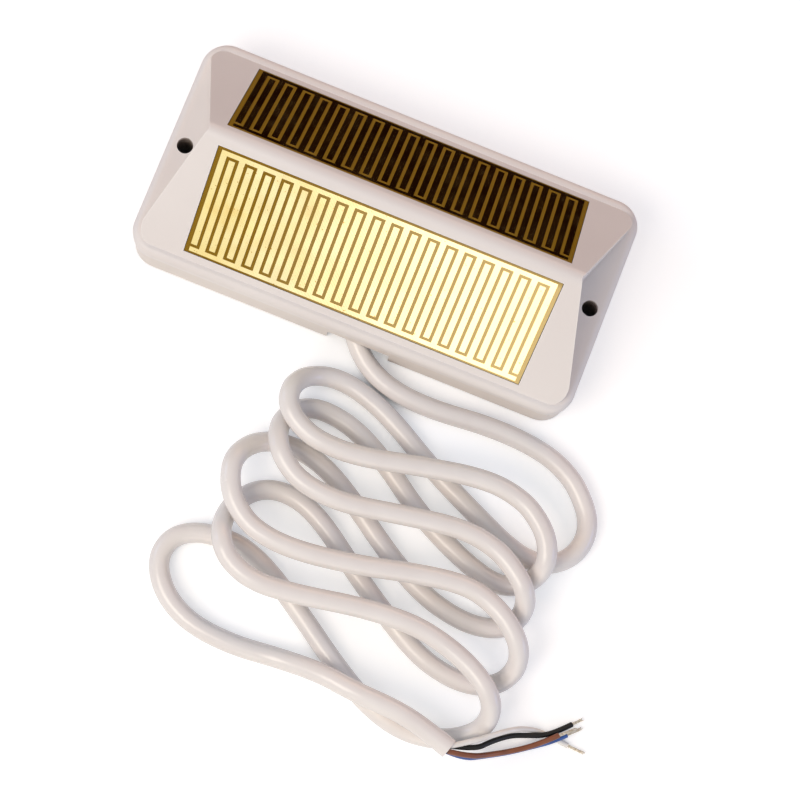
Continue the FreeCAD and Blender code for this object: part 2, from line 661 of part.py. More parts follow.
def make_base():
    body = new_body("Base")
    base_x = half_length - S.base_inset
    base_y = half_width - S.base_inset
    plan = outline(body, "BasePlan", "XY_Plane", [rounded(base_x, base_y, S.corner_radius - S.base_inset)])
    pad(body, "BaseBlock", plan, S.parting_height)
    round_edges(body, "FootEdge", S.foot_fillet, lambda edge: lies_at(edge, 0.0))
    bay = outline(body, "BayPlan", "XY_Plane",
                  [rounded(bay_half_length, bay_half_width, S.bay_corner)], S.parting_height)
    pocket(body, "Bay", bay, S.parting_height - S.base_floor)
    groove_in = S.seal_lip
    groove_out = S.seal_lip + S.seal_width
    groove = outline(body, "GroovePlan", "XY_Plane", [
        rounded(bay_half_length + groove_out, bay_half_width + groove_out, S.bay_corner + groove_out),
        rounded(bay_half_length + groove_in, bay_half_width + groove_in, S.bay_corner + groove_in)],
        S.parting_height)
    pocket(body, "Groove", groove, S.seal_depth)
    # a raised floor covers the recess where the cord comes in from below
    tunnel = outline(body, "TunnelPlan", "XY_Plane", [rectangle(
        recess_left - S.recess_wall, recess_right + S.recess_wall,
        -bay_half_width - S.seal_lip, grommet_inner)])
    pad(body, "Tunnel", tunnel, recess_roof)
    recess = outline(body, "RecessPlan", "XY_Plane", [recess_loop(-bay_half_width, recess_back)])
    pocket(body, "Recess", recess, recess_height, upward=True)
    mouth = outline(body, "MouthPlan", "XY_Plane", [
        recess_loop(-half_width - S.tool_overrun, S.tool_overrun - bay_half_width)])
    pocket(body, "Mouth", mouth, mouth_height, upward=True)
    entry = circles(body, "EntryCircle", "XZ_Plane", [(S.cord_across, entry_height)],
                    sleeve_radius, S.tool_overrun - recess_back)
    pocket(body, "Entry", entry, S.recess_wall + S.tool_overrun * 2)
    # posts for the main board and bosses for the cord clamp stand on the floor
    posts = circles(body, "PostCircles", "XY_Plane", post_places(), S.post_diameter / 2)
    pad(body, "Posts", posts, main_height)
    saddle = outline(body, "SaddlePlan", "XY_Plane", [clamp_plan()])
    pad(body, "Saddle", saddle, entry_height)
    trough = circles(body, "TroughCircle", "XZ_Plane", [(S.cord_across, entry_height)], cord_radius,
                     S.tool_overrun - clamp_front)
    pocket(body, "Trough", trough, S.clamp_depth + S.tool_overrun * 2)
    pilots = circles(body, "PostPilots", "XY_Plane", post_places(), S.main_screw / 2, main_height)
    pocket(body, "PostHoles", pilots, S.main_bite)
    clamp_pilots = circles(body, "BossPilots", "XY_Plane", clamp_places(), S.clamp_screw / 2, entry_height)
    pocket(body, "BossHoles", clamp_pilots, entry_height - S.base_floor / 2)
    # fixing holes, screws of the cover and the hollows beside them
    mounts = circles(body, "MountCircles", "XY_Plane", MOUNT_HOLES, S.mount_bore / 2)
    pocket(body, "Mounts", mounts, S.parting_height, upward=True)
    shanks = circles(body, "ShankCircles", "XY_Plane", JOINT_SCREWS,
                     S.joint_screw_shank / 2 + S.screw_play)
    pocket(body, "Shanks", shanks, S.parting_height, upward=True)
    heads = circles(body, "HeadCircles", "XY_Plane", JOINT_SCREWS, S.joint_screw_head / 2 + S.screw_play)
    pocket(body, "Heads", heads, S.joint_screw_sink, upward=True)
    hollow_y = (S.mount_bore / 2 + joint_along - S.joint_screw_head / 2) / 2
    hollows = [rectangle(mount_across * x - S.core_width / 2, mount_across * x + S.core_width / 2,
                         hollow_y * y - S.core_length / 2, hollow_y * y + S.core_length / 2)
               for x in (-1, 1) for y in (-1, 1)]
    under = outline(body, "HollowPlan", "XY_Plane", hollows)
    pocket(body, "Hollows", under, S.core_depth, upward=True)
    keep(body, "base")


def make_seal():
    body = new_body("Seal")
    out = S.seal_lip + S.seal_width
    ring = outline(body, "SealPlan", "XY_Plane", [
        rounded(bay_half_length + out, bay_half_width + out, S.bay_corner + out),
        rounded(bay_half_length + S.seal_lip, bay_half_width + S.seal_lip, S.bay_corner + S.seal_lip)],
        S.parting_height - S.seal_depth)
    pad(body, "SealRing", ring, S.seal_depth)
    keep(body, "seal")


def screw(name, across, along, bearing, shank, length, head, head_height, up):
    """A pan-head screw: the head lies on one side of its bearing face, the shank on the other."""
    shank_low = bearing if up else bearing - length
    head_low = bearing - head_height if up else bearing
    post = rod(name + "Shank", shank / 2, length, across, along, shank_low)
    cap = rod(name + "Head", head / 2, head_height, across, along, head_low)
    slot_length = head * S.drive_length_share
    slot_width = head * S.drive_width_share
    slot_depth = head_height * S.drive_depth_share
    slot_low = head_low if up else head_low + head_height - slot_depth
    drive = block(name + "Drive", slot_length, slot_width, slot_depth,
                  across - slot_length / 2, along - slot_width / 2, slot_low)
    return less(name, joined(name + "Blank", [post, cap]), [drive])


def make_joint_screws():
    length = S.parting_height - S.joint_screw_sink + S.joint_screw_rise
    screws = [screw("JointScrew%d" % index, across, along, S.joint_screw_sink, S.joint_screw_shank,
                    length, S.joint_screw_head, S.joint_head_height, True)
              for index, (across, along) in enumerate(JOINT_SCREWS)]
    keep(group("JointScrews", screws), "housing_screws")


# Sensing boards

def make_comb(label, side, flip, fingers):
    """A bus along one long edge with its fingers, drawn flat and then laid on the slope."""
    name = label.title().replace("_", "")
    body = new_body(name)
    edge = (board_width / 2 - S.comb_edge) * flip
    inner = edge - S.comb_bus * flip
    tip = -edge + (S.comb_bus + S.comb_gap) * flip
    reach = (comb_pitch * COMB_FINGERS + finger_width) / 2
    low, high = (inner, edge) if flip > 0 else (edge, inner)
    bus = outline(body, name + "Bus", "XY_Plane", [rectangle(-reach, reach, low, high)])
    pad(body, name + "Strip", bus, S.comb_thickness)
    start = -(comb_pitch * (fingers - 1) / 2)
    low, high = (tip, edge) if flip > 0 else (edge, tip)
    finger = outline(body, name + "Finger", "XY_Plane", [
        rectangle(start - finger_width / 2, start + finger_width / 2, low, high)])
    first = pad(body, name + "First", finger, S.comb_thickness)
    row = body.newObject("PartDesign::LinearPattern", name + "Row")
    row.Originals = [first]
    row.Direction = (origin_part(body, "X_Axis"), [""])
    bind(row, "Length", comb_pitch * (fingers - 1))
    bind(row, "Occurrences", fingers)
    body.Tip = row
    out = (board_out - S.comb_thickness * sine(S.roof_angle)) * side
    lay_on_slope(body, side, out, board_up - S.comb_thickness * cosine(S.roof_angle))
    keep(body, label)


def make_sensing_boards():
    for label, side in SIDES:
        top = S.comb_thickness
        keep(slope_block(label.title() + "Board", side, board_length, board_width,
                         -(top + S.board_thickness), S.board_thickness), label + "_sensor_board")
        make_comb(label + "_signal_comb", side, 1, COMB_FINGERS + 1)
        make_comb(label + "_ground_comb", side, -1, COMB_FINGERS)
        keep(slope_block(label.title() + "Heater", side, window_length - S.heater_inset * 2,
                         window_width - S.heater_margin * 2,
                         -(top + S.board_thickness + S.heater_thickness), S.heater_thickness),
             label + "_heater")


# Cord entry and clamp

def clamp_plan():
    return rectangle(S.cord_across - S.clamp_length / 2, S.cord_across + S.clamp_length / 2,
                     clamp_along - S.clamp_depth / 2, clamp_along + S.clamp_depth / 2)


def make_clamp():
    body = new_body("CordClamp")
    plan = outline(body, "ClampPlan", "XY_Plane", [clamp_plan()], entry_height)
    pad(body, "ClampBar", plan, S.clamp_height)
    bed = circles(body, "ClampBed", "XZ_Plane", [(S.cord_across, entry_height)], cord_radius,
                  S.tool_overrun - clamp_front)
    pocket(body, "ClampTrough", bed, S.clamp_depth + S.tool_overrun * 2)
    holes = circles(body, "ClampHoles", "XY_Plane", clamp_places(), S.clamp_screw / 2 + S.screw_play / 2,
                    clamp_top)
    pocket(body, "ClampDrill", holes, S.clamp_height)
    seats = circles(body, "ClampSeats", "XY_Plane", clamp_places(), S.clamp_head / 2 + S.screw_play,
                    clamp_top)
    pocket(body, "ClampCounterbore", seats, S.clamp_height / 2)
    keep(body, "cord_clamp")
    bearing = clamp_top - S.clamp_height / 2
    screws = [screw("ClampScrew%d" % index, across, along, bearing, S.clamp_screw,
                    bearing - S.base_floor, S.clamp_head, S.clamp_head_height, False)
              for index, (across, along) in enumerate(clamp_places())]
    keep(group("ClampScrews", screws), "clamp_screws")


def make_grommet():
    """A rubber bush with a flange on each side of the recess's inner wall, turned about the cord."""
    body = new_body("Grommet")
    back = grommet_inner + S.flange_depth
    profile = outline(body, "GrommetProfile", "XY_Plane", [straight([
        (cord_radius, grommet_front), (flange_radius, grommet_front), (flange_radius, recess_back),
        (sleeve_radius, recess_back), (sleeve_radius, grommet_inner), (flange_radius, grommet_inner),
        (flange_radius, back), (cord_radius, back)])])
    turn = body.newObject("PartDesign::Revolution", "GrommetTurn")
    turn.Profile = profile
    turn.ReferenceAxis = (origin_part(body, "Y_Axis"), [""])
    turn.Angle = 360
    bind_place(body, S.cord_across, ZERO, entry_height)
    doc.recompute()
    keep(body, "cord_grommet")


# Tubes along a route of points, each with the direction in which the route passes it

def unit(vector):
    return vector * (1.0 / vector.Length)


def joined_arcs(start, leaving, end, arriving):
    """One line, or two arcs that meet smoothly, from start to end along the given directions."""
    span = end - start
    if span.cross(leaving).Length < TINY and span.cross(arriving).Length < TINY:
        return [Part.LineSegment(start, end)]
    both = leaving + arriving
    spread = 2 * (1 - leaving.dot(arriving))
    if spread < TINY * TINY:
        reach = span.dot(span) / (2 * span.dot(both))
    else:
        reach = (math.sqrt(span.dot(both) ** 2 + spread * span.dot(span)) - span.dot(both)) / spread
    knees = (start + leaving * reach, end - arriving * reach)
    middle = (knees[0] + knees[1]) * 0.5
    edges = []
    for first, knee, last in ((start, knees[0], middle), (middle, knees[1], end)):
        weight = min((last - first).Length / 2 / (knee - first).Length, 1.0)
        if weight > 1 - TINY * TINY:
            edges.append(Part.LineSegment(first, last))
        else:
            crown = (first + knee * (2 * weight) + last) * (1.0 / (2 + 2 * weight))
            edges.append(Part.Arc(first, crown, last))
    return edges


def route_wire(route):
    edges = []
    for (start, leaving), (end, arriving) in zip(route[:-1], route[1:]):
        edges += joined_arcs(start, leaving, end, arriving)
    return Part.Wire([edge.toShape() for edge in edges])


def through(points, first=None, last=None):
    """A route through points whose directions follow from the neighbours."""
    route = []
    for index, point in enumerate(points):
        before = points[max(index - 1, 0)]
        after = points[min(index + 1, len(points) - 1)]
        way = unit(after - before)
        if index == 0 and first is not None:
            way = first
        if index == len(points) - 1 and last is not None:
            way = last
        route.append((point, way))
    return route


def tube_shape(route, radius):
    wire = route_wire(route)
    ring = Part.Wire([Part.Circle(route[0][0], route[0][1], radius).toShape()])
    solid = wire.makePipeShell([ring], True, False)
    expected = math.pi * radius * radius * wire.Length
    if abs(solid.Volume - expected) > 0.01 * expected:
        raise RuntimeError("tube volume %.1f, expected %.1f" % (solid.Volume, expected))
    return solid


def tube(name, shapes):
    feature = doc.addObject("Part::Feature", name)
    feature.Shape = shapes[0] if len(shapes) == 1 else Part.makeCompound(shapes)
    feature.Placement = FreeCAD.Placement()
    return feature


def smooth_slopes(places):
    """Turns (x, y, z, heading) into a route; a slope is zero at each top and bottom."""
    route = []
    for index, (x, y, z, heading) in enumerate(places):
        slopes = []
        for other in (index - 1, index + 1):
            if 0 <= other < len(places):
                ox, oy, oz = places[other][:3]
                run = math.hypot(ox - x, oy - y)
                slopes.append((oz - z) / run * (1 if other > index else -1))
            else:
                slopes.append(0.0)
        back, ahead = slopes
        slope = 0.0 if back * ahead <= 0 else 2 * back * ahead / (back + ahead)
        route.append((Vector(x, y, z), unit(Vector(math.cos(heading), math.sin(heading), slope))))
    return route


def strand_heading(first, first_way, second, second_way):
    """Heading of the straight strand that leaves one turn and joins the next."""
    run_x = second[0] - first[0]
    run_y = second[1] - first[1]
    sideways = (second_way * second[2] - first_way * first[2]) / math.hypot(run_x, run_y)
    return math.atan2(run_y, run_x) - math.asin(sideways)


def crossing(turn, neighbour, outer):
    """Angle about a turn's middle at which the neighbouring turn crosses it on the outer side."""
    run_x = neighbour[0] - turn[0]
    run_y = neighbour[1] - turn[1]
    apart = math.hypot(run_x, run_y)
    half = math.acos((turn[2] ** 2 + apart ** 2 - neighbour[2] ** 2) / (2 * turn[2] * apart))
    toward = math.atan2(run_y, run_x)
    return max((toward + half, toward - half), key=lambda angle: outer * math.cos(angle))


def after(angle, start, way):
    """The same direction as angle, met first when turning from start."""
    turned = (angle - start) * way % (2 * math.pi)
    return start + way * turned


def hank_places():
    """Four points for each turn: its start, its two crossings and its end, with their heights.
    A right turn comes down off the strands below it, a left turn climbs onto them."""
    low = cord_radius.value + S.cord_rest.value
    rises = (S.strand_span.value, S.strand_cross.value, S.strand_dip.value, 0.0)
    turns = []
    for right, left in zip(RIGHT_TURNS, LEFT_TURNS):
        turns.append((right, -1, RIGHT_TURNS))
        turns.append((left, 1, LEFT_TURNS))
    headings = [0.0]
    for (first, first_way, _), (second, second_way, _) in zip(turns[:-1], turns[1:]):
        headings.append(strand_heading(first, first_way, second, second_way))
    headings.append(0.0)
    places = []
    for index, (turn, way, alike) in enumerate(turns):
        outer = -way
        rank = alike.index(turn)
        start = headings[index] - way * math.pi / 2
        end = after(headings[index + 1] - way * math.pi / 2, start, way)
        crossings = []
        if rank > 0:
            crossings.append(after(crossing(turn, alike[rank - 1], outer), start, way))
        if rank < len(alike) - 1:
            crossings.append(after(crossing(turn, alike[rank + 1], outer), start, way))
        if rank == 0:
            crossings.insert(0, start + end - crossings[0])
        if rank == len(alike) - 1:
            crossings.append(start + end - crossings[0])
        heights = rises if way < 0 else rises[::-1]
        if index in (0, len(turns) - 1):
            heights = (0.0,) * 4
        for angle, rise in zip([start] + crossings + [end], heights):
            places.append((turn[0] + turn[2] * math.cos(angle), turn[1] + turn[2] * math.sin(angle),
                           low + rise, angle + way * math.pi / 2))
    return places


def lead_places():
    """From the grommet, out through the recess and round to the hank's first turn."""
    low = cord_radius.value + S.cord_rest.value
    x = S.cord_across.value
    bend = S.cord_bend.value
    level = RIGHT_TURNS[0][1] + RIGHT_TURNS[0][2]
    out = level + bend
    face = grommet_front.value
    down = -math.pi / 2
    places = [(x, face, entry_height.value, down), (x, out, entry_height.value, down)]
    for degrees, share in ((S.bend_angle.value, S.bend_share.value), (90, 0.0)):
        turned = math.radians(degrees)
        places.append((x + bend * (1 - math.cos(turned)), out - bend * math.sin(turned),
                       low + (entry_height.value - low) * share, down + turned))
    places.append((RIGHT_TURNS[0][0], level, low, 0.0))
    return places


def least_self_gap(route, diameter):
    """Least clear distance between parts of a tube that are three diameters apart along it."""
    wire = route_wire(route)
    points = wire.discretize(Distance=diameter / SAMPLES)
    apart = 3 * diameter
    step = wire.Length / (len(points) - 1)
    skip = int(apart / step)
    least = min((points[low] - points[high]).Length
                for low in range(len(points)) for high in range(low + skip, len(points)))
    return least - diameter


def make_cord():
    diameter = S.cord_diameter.value
    radius = diameter / 2
    x = S.cord_across.value
    height = entry_height.value
    face = grommet_front.value
    forward = Vector(0, -1, 0)
    inside = [(Vector(x, sheath_end.value, height), forward), (Vector(x, face, height), forward)]
    keep(tube("CordTail", [tube_shape(inside, radius)]), "cord_tail")
    lead = smooth_slopes(lead_places())
    keep(tube("CordLead", [tube_shape(lead, radius)]), "cord_lead")
    places = hank_places()
    low = cord_radius.value + S.cord_rest.value
    top = low + S.strand_span.value
    places.append(LAST_CLIMB + (low, 0.0))
    places.append(LAST_TOP + (top, -0.05))
    places.append(SHEATH_STOP + (top, -0.17))
    hank = smooth_slopes(places)
    keep(tube("CordHank", [tube_shape(hank, radius)]), "cord_hank")
    whole = route_wire(lead).Length + route_wire(hank).Length
    print("cord outside the housing %.0f mm" % whole)
    print("least gap between the hank's own strands %.2f mm" % least_self_gap(hank, diameter))
    edges = route_wire(lead + hank[1:]).Edges
    radii = sorted(edge.Curve.Radius for edge in edges if hasattr(edge.Curve, "Radius"))
    print("cord radii %.1f to %.1f mm" % (radii[0], radii[-1]))
    make_free_cores(*hank[-1])


def core_route(start, heading, points):
    """From the sheath's end through a core's points, each passed along the line of its neighbours."""
    stops = [tuple(start)] + points
    places = [stops[0] + (heading,)]
    for index, point in enumerate(points, start=1):
        before = stops[index - 1]
        following = stops[min(index + 1, len(stops) - 1)]
        places.append(point + (math.atan2(following[1] - before[1], following[0] - before[0]),))
    return smooth_slopes(places)


def make_free_cores(stop, way):
    """Four cores in a square inside the sheath: white and brown above, black and blue below."""
    across = unit(Vector(-way.y, way.x, 0))
    upward = Vector(0, 0, 1)
    reach = S.core_offset.value * math.sqrt(0.5)
    sides = {"white_core": (1, 1), "black_core": (1, -1), "brown_core": (-1, 1), "blue_core": (-1, -1)}
    tips = []
    for label, (aside, above) in sides.items():
        start = stop + across * (aside * reach) + upward * (above * reach)
        route = core_route(start, math.atan2(way.y, way.x), CORE_ROUTES[label])
        name = label.title().replace("_", "")
        keep(tube(name, [tube_shape(route[:-1], S.core_diameter.value / 2)]), label)
        tips.append(tube_shape(route[-2:], S.strand_diameter.value / 2))
    keep(tube("TinnedEnds", tips), "tinned_ends")


def make_inner_cores():
    """The cores inside: up through the slot in the main board and back into the terminal block."""
    x = S.cord_across.value
    start_y = sheath_end.value
    low = entry_height.value
    level = terminal_level.value
    slot = slot_along.value
    inside = (sheath_end - S.terminal_reach).value
    cores = []
    for pole in range(POLES):
        side = pole - (POLES - 1) / 2
        stagger = S.core_stagger.value if abs(side) < 1 else -S.core_stagger.value
        pole_x = x + side * S.terminal_pitch.value
        route = [(Vector(x + side * S.core_fan.value, start_y, low + stagger), Vector(0, 1, 0)),
                 (Vector(x + side * S.core_spread.value, slot, (low + level) / 2), Vector(0, 0, 1)),
                 (Vector(pole_x, start_y + S.core_run.value, level), Vector(0, -1, 0)),
                 (Vector(pole_x, inside, level), Vector(0, -1, 0))]
        cores.append(tube_shape(route, S.core_diameter.value / 2))
    keep(tube("InnerCores", cores), "inner_cores")


# Electronics

def post_places():
    across = main_half_length - S.post_inset
    along = main_half_width - S.post_inset
    return [(across * x, along * y) for x in (-1, 1) for y in (-1, 1)]


def clamp_places():
    return [(S.cord_across + S.clamp_spacing / 2 * x, clamp_along) for x in (-1, 1)]


def make_main_board():
    body = new_body("MainBoard")
    slot_left = S.cord_across - S.slot_length / 2
    slot_right = S.cord_across + S.slot_length / 2
    plan = outline(body, "MainPlan", "XY_Plane", [
        rounded(main_half_length, main_half_width, S.main_corner),
        rectangle(slot_left, slot_right, slot_along - S.slot_width / 2,
                  slot_along + S.slot_width / 2)], main_height)
    pad(body, "MainPlate", plan, S.main_thickness)
    holes = circles(body, "MainHoles", "XY_Plane", post_places(), S.main_screw / 2 + S.screw_play,
                    main_top)
    pocket(body, "MainDrill", holes, S.main_thickness)
    keep(body, "main_board")
    screws = [screw("MainScrew%d" % index, across, along, main_top, S.main_screw,
                    S.main_thickness + S.main_bite, S.main_head, S.main_head_height, False)
              for index, (across, along) in enumerate(post_places())]
    keep(group("MainScrews", screws), "main_board_screws")


def make_terminal_block():
    body = new_body("TerminalBlock")
    back = sheath_end
    front = back - S.terminal_depth
    plan = outline(body, "TerminalPlan", "XY_Plane", [
        rectangle(terminal_left, S.cord_across + terminal_half, front, back)], main_top)
    pad(body, "TerminalBody", plan, S.terminal_height)
    mouth = S.terminal_mouth / 2
    centres = [S.cord_across + S.terminal_pitch * (pole - (POLES - 1) / 2) for pole in range(POLES)]
    mouths = outline(body, "TerminalMouths", "XZ_Plane", [
        rectangle(centre - mouth, centre + mouth, terminal_level - mouth, terminal_level + mouth)
        for centre in centres], -back)
    pocket(body, "TerminalOpenings", mouths, S.terminal_reach, upward=True)
    wells = circles(body, "TerminalWells", "XY_Plane",
                    [(centre, front + S.well_along) for centre in centres],
                    S.well_diameter / 2, main_top + S.terminal_height)
    pocket(body, "TerminalScrewWells", wells, S.well_depth)
    keep(body, "terminal_block")


def make_relay():
    body = new_body("Relay")
    plan = outline(body, "RelayPlan", "XY_Plane", [rectangle(
        relay_left, relay_left + S.relay_length, -(S.relay_width / 2), S.relay_width / 2)], main_top)
    pad(body, "RelayBox", plan, S.relay_height)
    top = (main_top + S.relay_height).value
    round_edges(body, "RelayEdges", S.relay_edge, lambda edge: is_upright(edge) or lies_at(edge, top))
    keep(body, "relay")


def make_capacitor():
    """An aluminium can: crimped near its foot, rounded at the top."""
    body = new_body("Capacitor")
    radius = S.capacitor_diameter / 2
    height = S.capacitor_height
    middle = S.crimp_low + S.crimp_rise
    profile = outline(body, "CanProfile", "XZ_Plane", [([
        (ZERO, ZERO), (radius, ZERO), (radius, S.crimp_low), (radius - S.crimp_depth, middle),
        (radius, middle + S.crimp_rise), (radius, height - S.can_edge), (radius - S.can_edge, height),
        (ZERO, height)], {5: (S.can_edge, 1)})])
    turn = body.newObject("PartDesign::Revolution", "CanTurn")
    turn.Profile = profile
    turn.ReferenceAxis = (origin_part(body, "Z_Axis"), [""])
    turn.Angle = 360
    bind_place(body, capacitor_across, ZERO, main_top)
    doc.recompute()
    keep(body, "capacitor")


def make_regulator():
    left = regulator_right - S.regulator_width
    middle = left + S.regulator_width / 2
    depth = S.regulator_depth - S.tab_thickness
    low = main_top + S.regulator_lift
    body = block("RegulatorBody", S.regulator_width, depth, S.regulator_height, left, ZERO, low)
    tab = block("RegulatorTab", S.regulator_width, S.tab_thickness, S.regulator_tab, left, depth, low)
    legs = [block("RegulatorLeg%d" % index, S.leg_width, S.leg_thickness, S.leg_length,
                  middle + S.lead_pitch * (index - 1) - S.leg_width / 2,
                  S.regulator_depth / 3, main_top)
            for index in range(3)]
    hole = doc.addObject("Part::Cylinder", "RegulatorHole")
    bind(hole, "Radius", S.tab_hole / 2)
    bind(hole, "Height", S.regulator_depth)
    hole.Placement = FreeCAD.Placement(Vector(), FreeCAD.Rotation(Vector(1, 0, 0), -90))
    bind_place(hole, middle, ZERO, low + S.regulator_tab - S.tab_hole_drop)
    keep(less("Regulator", joined("RegulatorBlank", [body, tab] + legs), [hole]), "voltage_regulator")


def make_controller():
    """A flat chip whose pins run through under its body and show on both sides."""
    front = S.chip_inset - main_half_width - S.chip_width / 2
    body = block("ChipBody", S.chip_length, S.chip_width, S.chip_height - S.chip_lift,
                 S.cord_across - S.chip_length / 2, front, main_top + S.chip_lift)
    pins = [block("ChipPin%d" % index, S.chip_pin_width, S.chip_width + S.chip_pin_reach * 2,
                  S.chip_pin_thickness,
                  S.cord_across + S.chip_pin_pitch * (index - (CHIP_PINS - 1) / 2) - S.chip_pin_width / 2,
                  front - S.chip_pin_reach, main_top)
            for index in range(CHIP_PINS)]
    keep(joined("Controller", [body] + pins), "controller_chip")


def make_rectifier():
    keep(block("Rectifier", S.bridge_length, S.bridge_width, S.bridge_height,
               terminal_left - S.bridge_gap - S.bridge_length, S.bridge_inset - main_half_width,
               main_top), "rectifier")


def make_varistor():
    disc = doc.addObject("Part::Cylinder", "Varistor")
    bind(disc, "Radius", S.varistor_diameter / 2)
    bind(disc, "Height", S.varistor_depth)
    disc.Placement = FreeCAD.Placement(Vector(), FreeCAD.Rotation(Vector(0, 1, 0), 90))
    middle = main_half_width - S.varistor_inset - S.varistor_diameter / 2
    bind_place(disc, capacitor_across, middle, main_top + S.varistor_diameter / 2)
    keep(disc, "surge_absorber")


def make_lead_headers():
    headers = [block("LeadHeader%d" % (side + 1), header_length, S.header_width, S.header_height,
                     header_across - header_length / 2, header_along * side - S.header_width / 2,
                     main_top) for label, side in SIDES]
    keep(group("LeadHeaders", headers), "lead_headers")


def ribbon_shape(route, width, thickness):
    """A flat ribbon along a route in a plane of constant X, centred on it."""
    start, way = route[0]
    aside = Vector(width / 2, 0, 0)
    above = way.cross(Vector(1, 0, 0)) * (thickness / 2)
    corners = [start - aside - above, start + aside - above, start + aside + above, start - aside + above]
    section = Part.makePolygon(corners + corners[:1])
    wire = route_wire(route)
    solid = wire.makePipeShell([section], True, False)
    expected = width * thickness * wire.Length
    if abs(solid.Volume - expected) > 0.01 * expected:
        raise RuntimeError("ribbon volume %.1f, expected %.1f" % (solid.Volume, expected))
    return solid


def make_sensing_leads():
    """A flat ribbon of leads from under each sensing board, beside its heater, down to its header."""
    tilt = math.radians(S.roof_angle.value)
    along_slope = (board_width / 2 - S.seat_width - S.lead_start).value
    under = (S.board_thickness + S.comb_thickness).value
    x = header_across.value
    for label, side in SIDES:
        inward = Vector(0, -side * math.sin(tilt), -math.cos(tilt))
        y = board_out.value * side - along_slope * math.cos(tilt) * side
        z = board_up.value + along_slope * math.sin(tilt)
        start = Vector(x, y, z) + inward * under
        points = [start, start + inward * S.lead_stub.value,
                  Vector(x, side * S.lead_bend_out.value, (apex - S.lead_bend_drop).value),
                  Vector(x, header_along.value * side, (main_top + S.header_height).value)]
        route = through(points, first=inward, last=Vector(0, 0, -1))
        route[1] = (points[1], inward)
        ribbon = ribbon_shape(route, (S.lead_pitch * LEADS).value, S.ribbon_thickness.value)
        keep(tube(label.title() + "Leads", [ribbon]), label + "_sensor_leads")


doc.recompute()
make_cover()
make_base()
make_seal()
make_joint_screws()
make_sensing_boards()
make_main_board()
make_terminal_block()
make_clamp()
make_grommet()
make_relay()
make_capacitor()
make_regulator()
make_controller()
make_rectifier()
make_varistor()
make_lead_headers()
make_sensing_leads()
make_inner_cores()
make_cord()
doc.recompute()

problems = []
for item in doc.Objects:
    if "Invalid" in item.State or "Error" in item.State:
        problems.append("%s is %s" % (item.Label, item.State))
for item in KEPT:
    if item.Shape.isNull() or not item.Shape.isValid():
        problems.append("%s has no valid shape" % item.Label)
if problems:
    raise RuntimeError("; ".join(problems))

os.makedirs("parts", exist_ok=True)
for item in KEPT:
    item.Shape.exportStep("parts/%s.step" % item.Label)
    print(item.Label, len(item.Shape.Solids), "solids", round(item.Shape.Volume), "mm3")
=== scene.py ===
# %% [markdown]
# # A rain sensor on a white table
#
# A rain sensor stands outdoors on a roof or a greenhouse and tells a motor to close the window.
# Its housing is shaped like a small roof, so that drops run off. On each slope lies a board with two
# gold combs that interlock. A drop that bridges the gap between them lets a little current through.
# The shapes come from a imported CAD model. This lesson gives them their finishes, lays out the cord
# and lights the scene like a product photograph. Blender counts in metres here, and a size in
# millimetres is multiplied by MM. X runs along the ridge, Y to the back and Z up.

import math

import bpy
from mathutils import Matrix, Vector


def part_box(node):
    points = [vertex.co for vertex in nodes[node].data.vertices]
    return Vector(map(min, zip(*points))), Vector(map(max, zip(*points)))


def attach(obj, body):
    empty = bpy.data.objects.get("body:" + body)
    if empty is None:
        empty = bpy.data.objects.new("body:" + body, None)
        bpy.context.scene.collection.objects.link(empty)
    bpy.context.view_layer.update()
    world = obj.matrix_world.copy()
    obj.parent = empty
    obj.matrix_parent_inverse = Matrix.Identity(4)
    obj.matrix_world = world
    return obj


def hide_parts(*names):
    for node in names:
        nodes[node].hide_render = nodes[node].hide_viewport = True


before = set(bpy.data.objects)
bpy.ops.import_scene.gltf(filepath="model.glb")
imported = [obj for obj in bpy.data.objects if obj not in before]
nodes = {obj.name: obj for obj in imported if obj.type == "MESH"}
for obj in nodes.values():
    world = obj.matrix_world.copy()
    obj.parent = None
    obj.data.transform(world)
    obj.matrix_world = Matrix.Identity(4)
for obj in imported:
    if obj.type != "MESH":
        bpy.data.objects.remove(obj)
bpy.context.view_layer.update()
scene = bpy.context.scene
scene.view_settings.view_transform = "Standard"
print("CAD pieces:", len(nodes))

# %% [markdown]
# ## Small helpers
#
# A colour in a picture is written in sRGB, and the renderer counts in linear light, so one function
# turns a hex colour into linear numbers. Another adds a node to a shader, sets it up and links it.
# Patterns are worked out from real sizes: every CAD piece sits at the origin in metres, so a pattern
# with features 2 mm apart has the scale 500.

# %% Helpers for colour, nodes and pattern size
MM = 0.001


def linear(text):
    """A hex colour, such as "d8d2cb", as linear red, green, blue and alpha."""
    channels = [int(text[i:i + 2], 16) / 255 for i in (0, 2, 4)]
    return [c / 12.92 if c <= 0.04045 else ((c + 0.055) / 1.055) ** 2.4 for c in channels] + [1.0]


def add(tree, kind, inputs={}, stops=(), **settings):
    """Adds a node. An input is linked where its value is another node's output; stops fill a ramp."""
    node = tree.nodes.new(kind)
    for name, value in settings.items():
        setattr(node, name, value)
    for place, (position, colour) in enumerate(stops):
        if place > 1:
            node.color_ramp.elements.new(position)
        node.color_ramp.elements[place].position = position
        node.color_ramp.elements[place].color = colour
    for name, value in inputs.items():
        if isinstance(value, bpy.types.NodeSocket):
            tree.links.new(value, node.inputs[name])
        else:
            node.inputs[name].default_value = value
    return node


def material(name):
    """An empty node material and its tree."""
    made = bpy.data.materials.new(name)
    made.use_nodes = True
    made.node_tree.nodes.clear()
    return made, made.node_tree


def per(size):
    """Scale of a noise whose features are this many millimetres apart."""
    return 1 / (size * MM)


def bands(size):
    """Scale of a wave with one band in this many millimetres: its sine runs 20 radians per unit."""
    return 2 * math.pi / 20 * per(size)


print("white:", [round(c, 3) for c in linear("ffffff")])

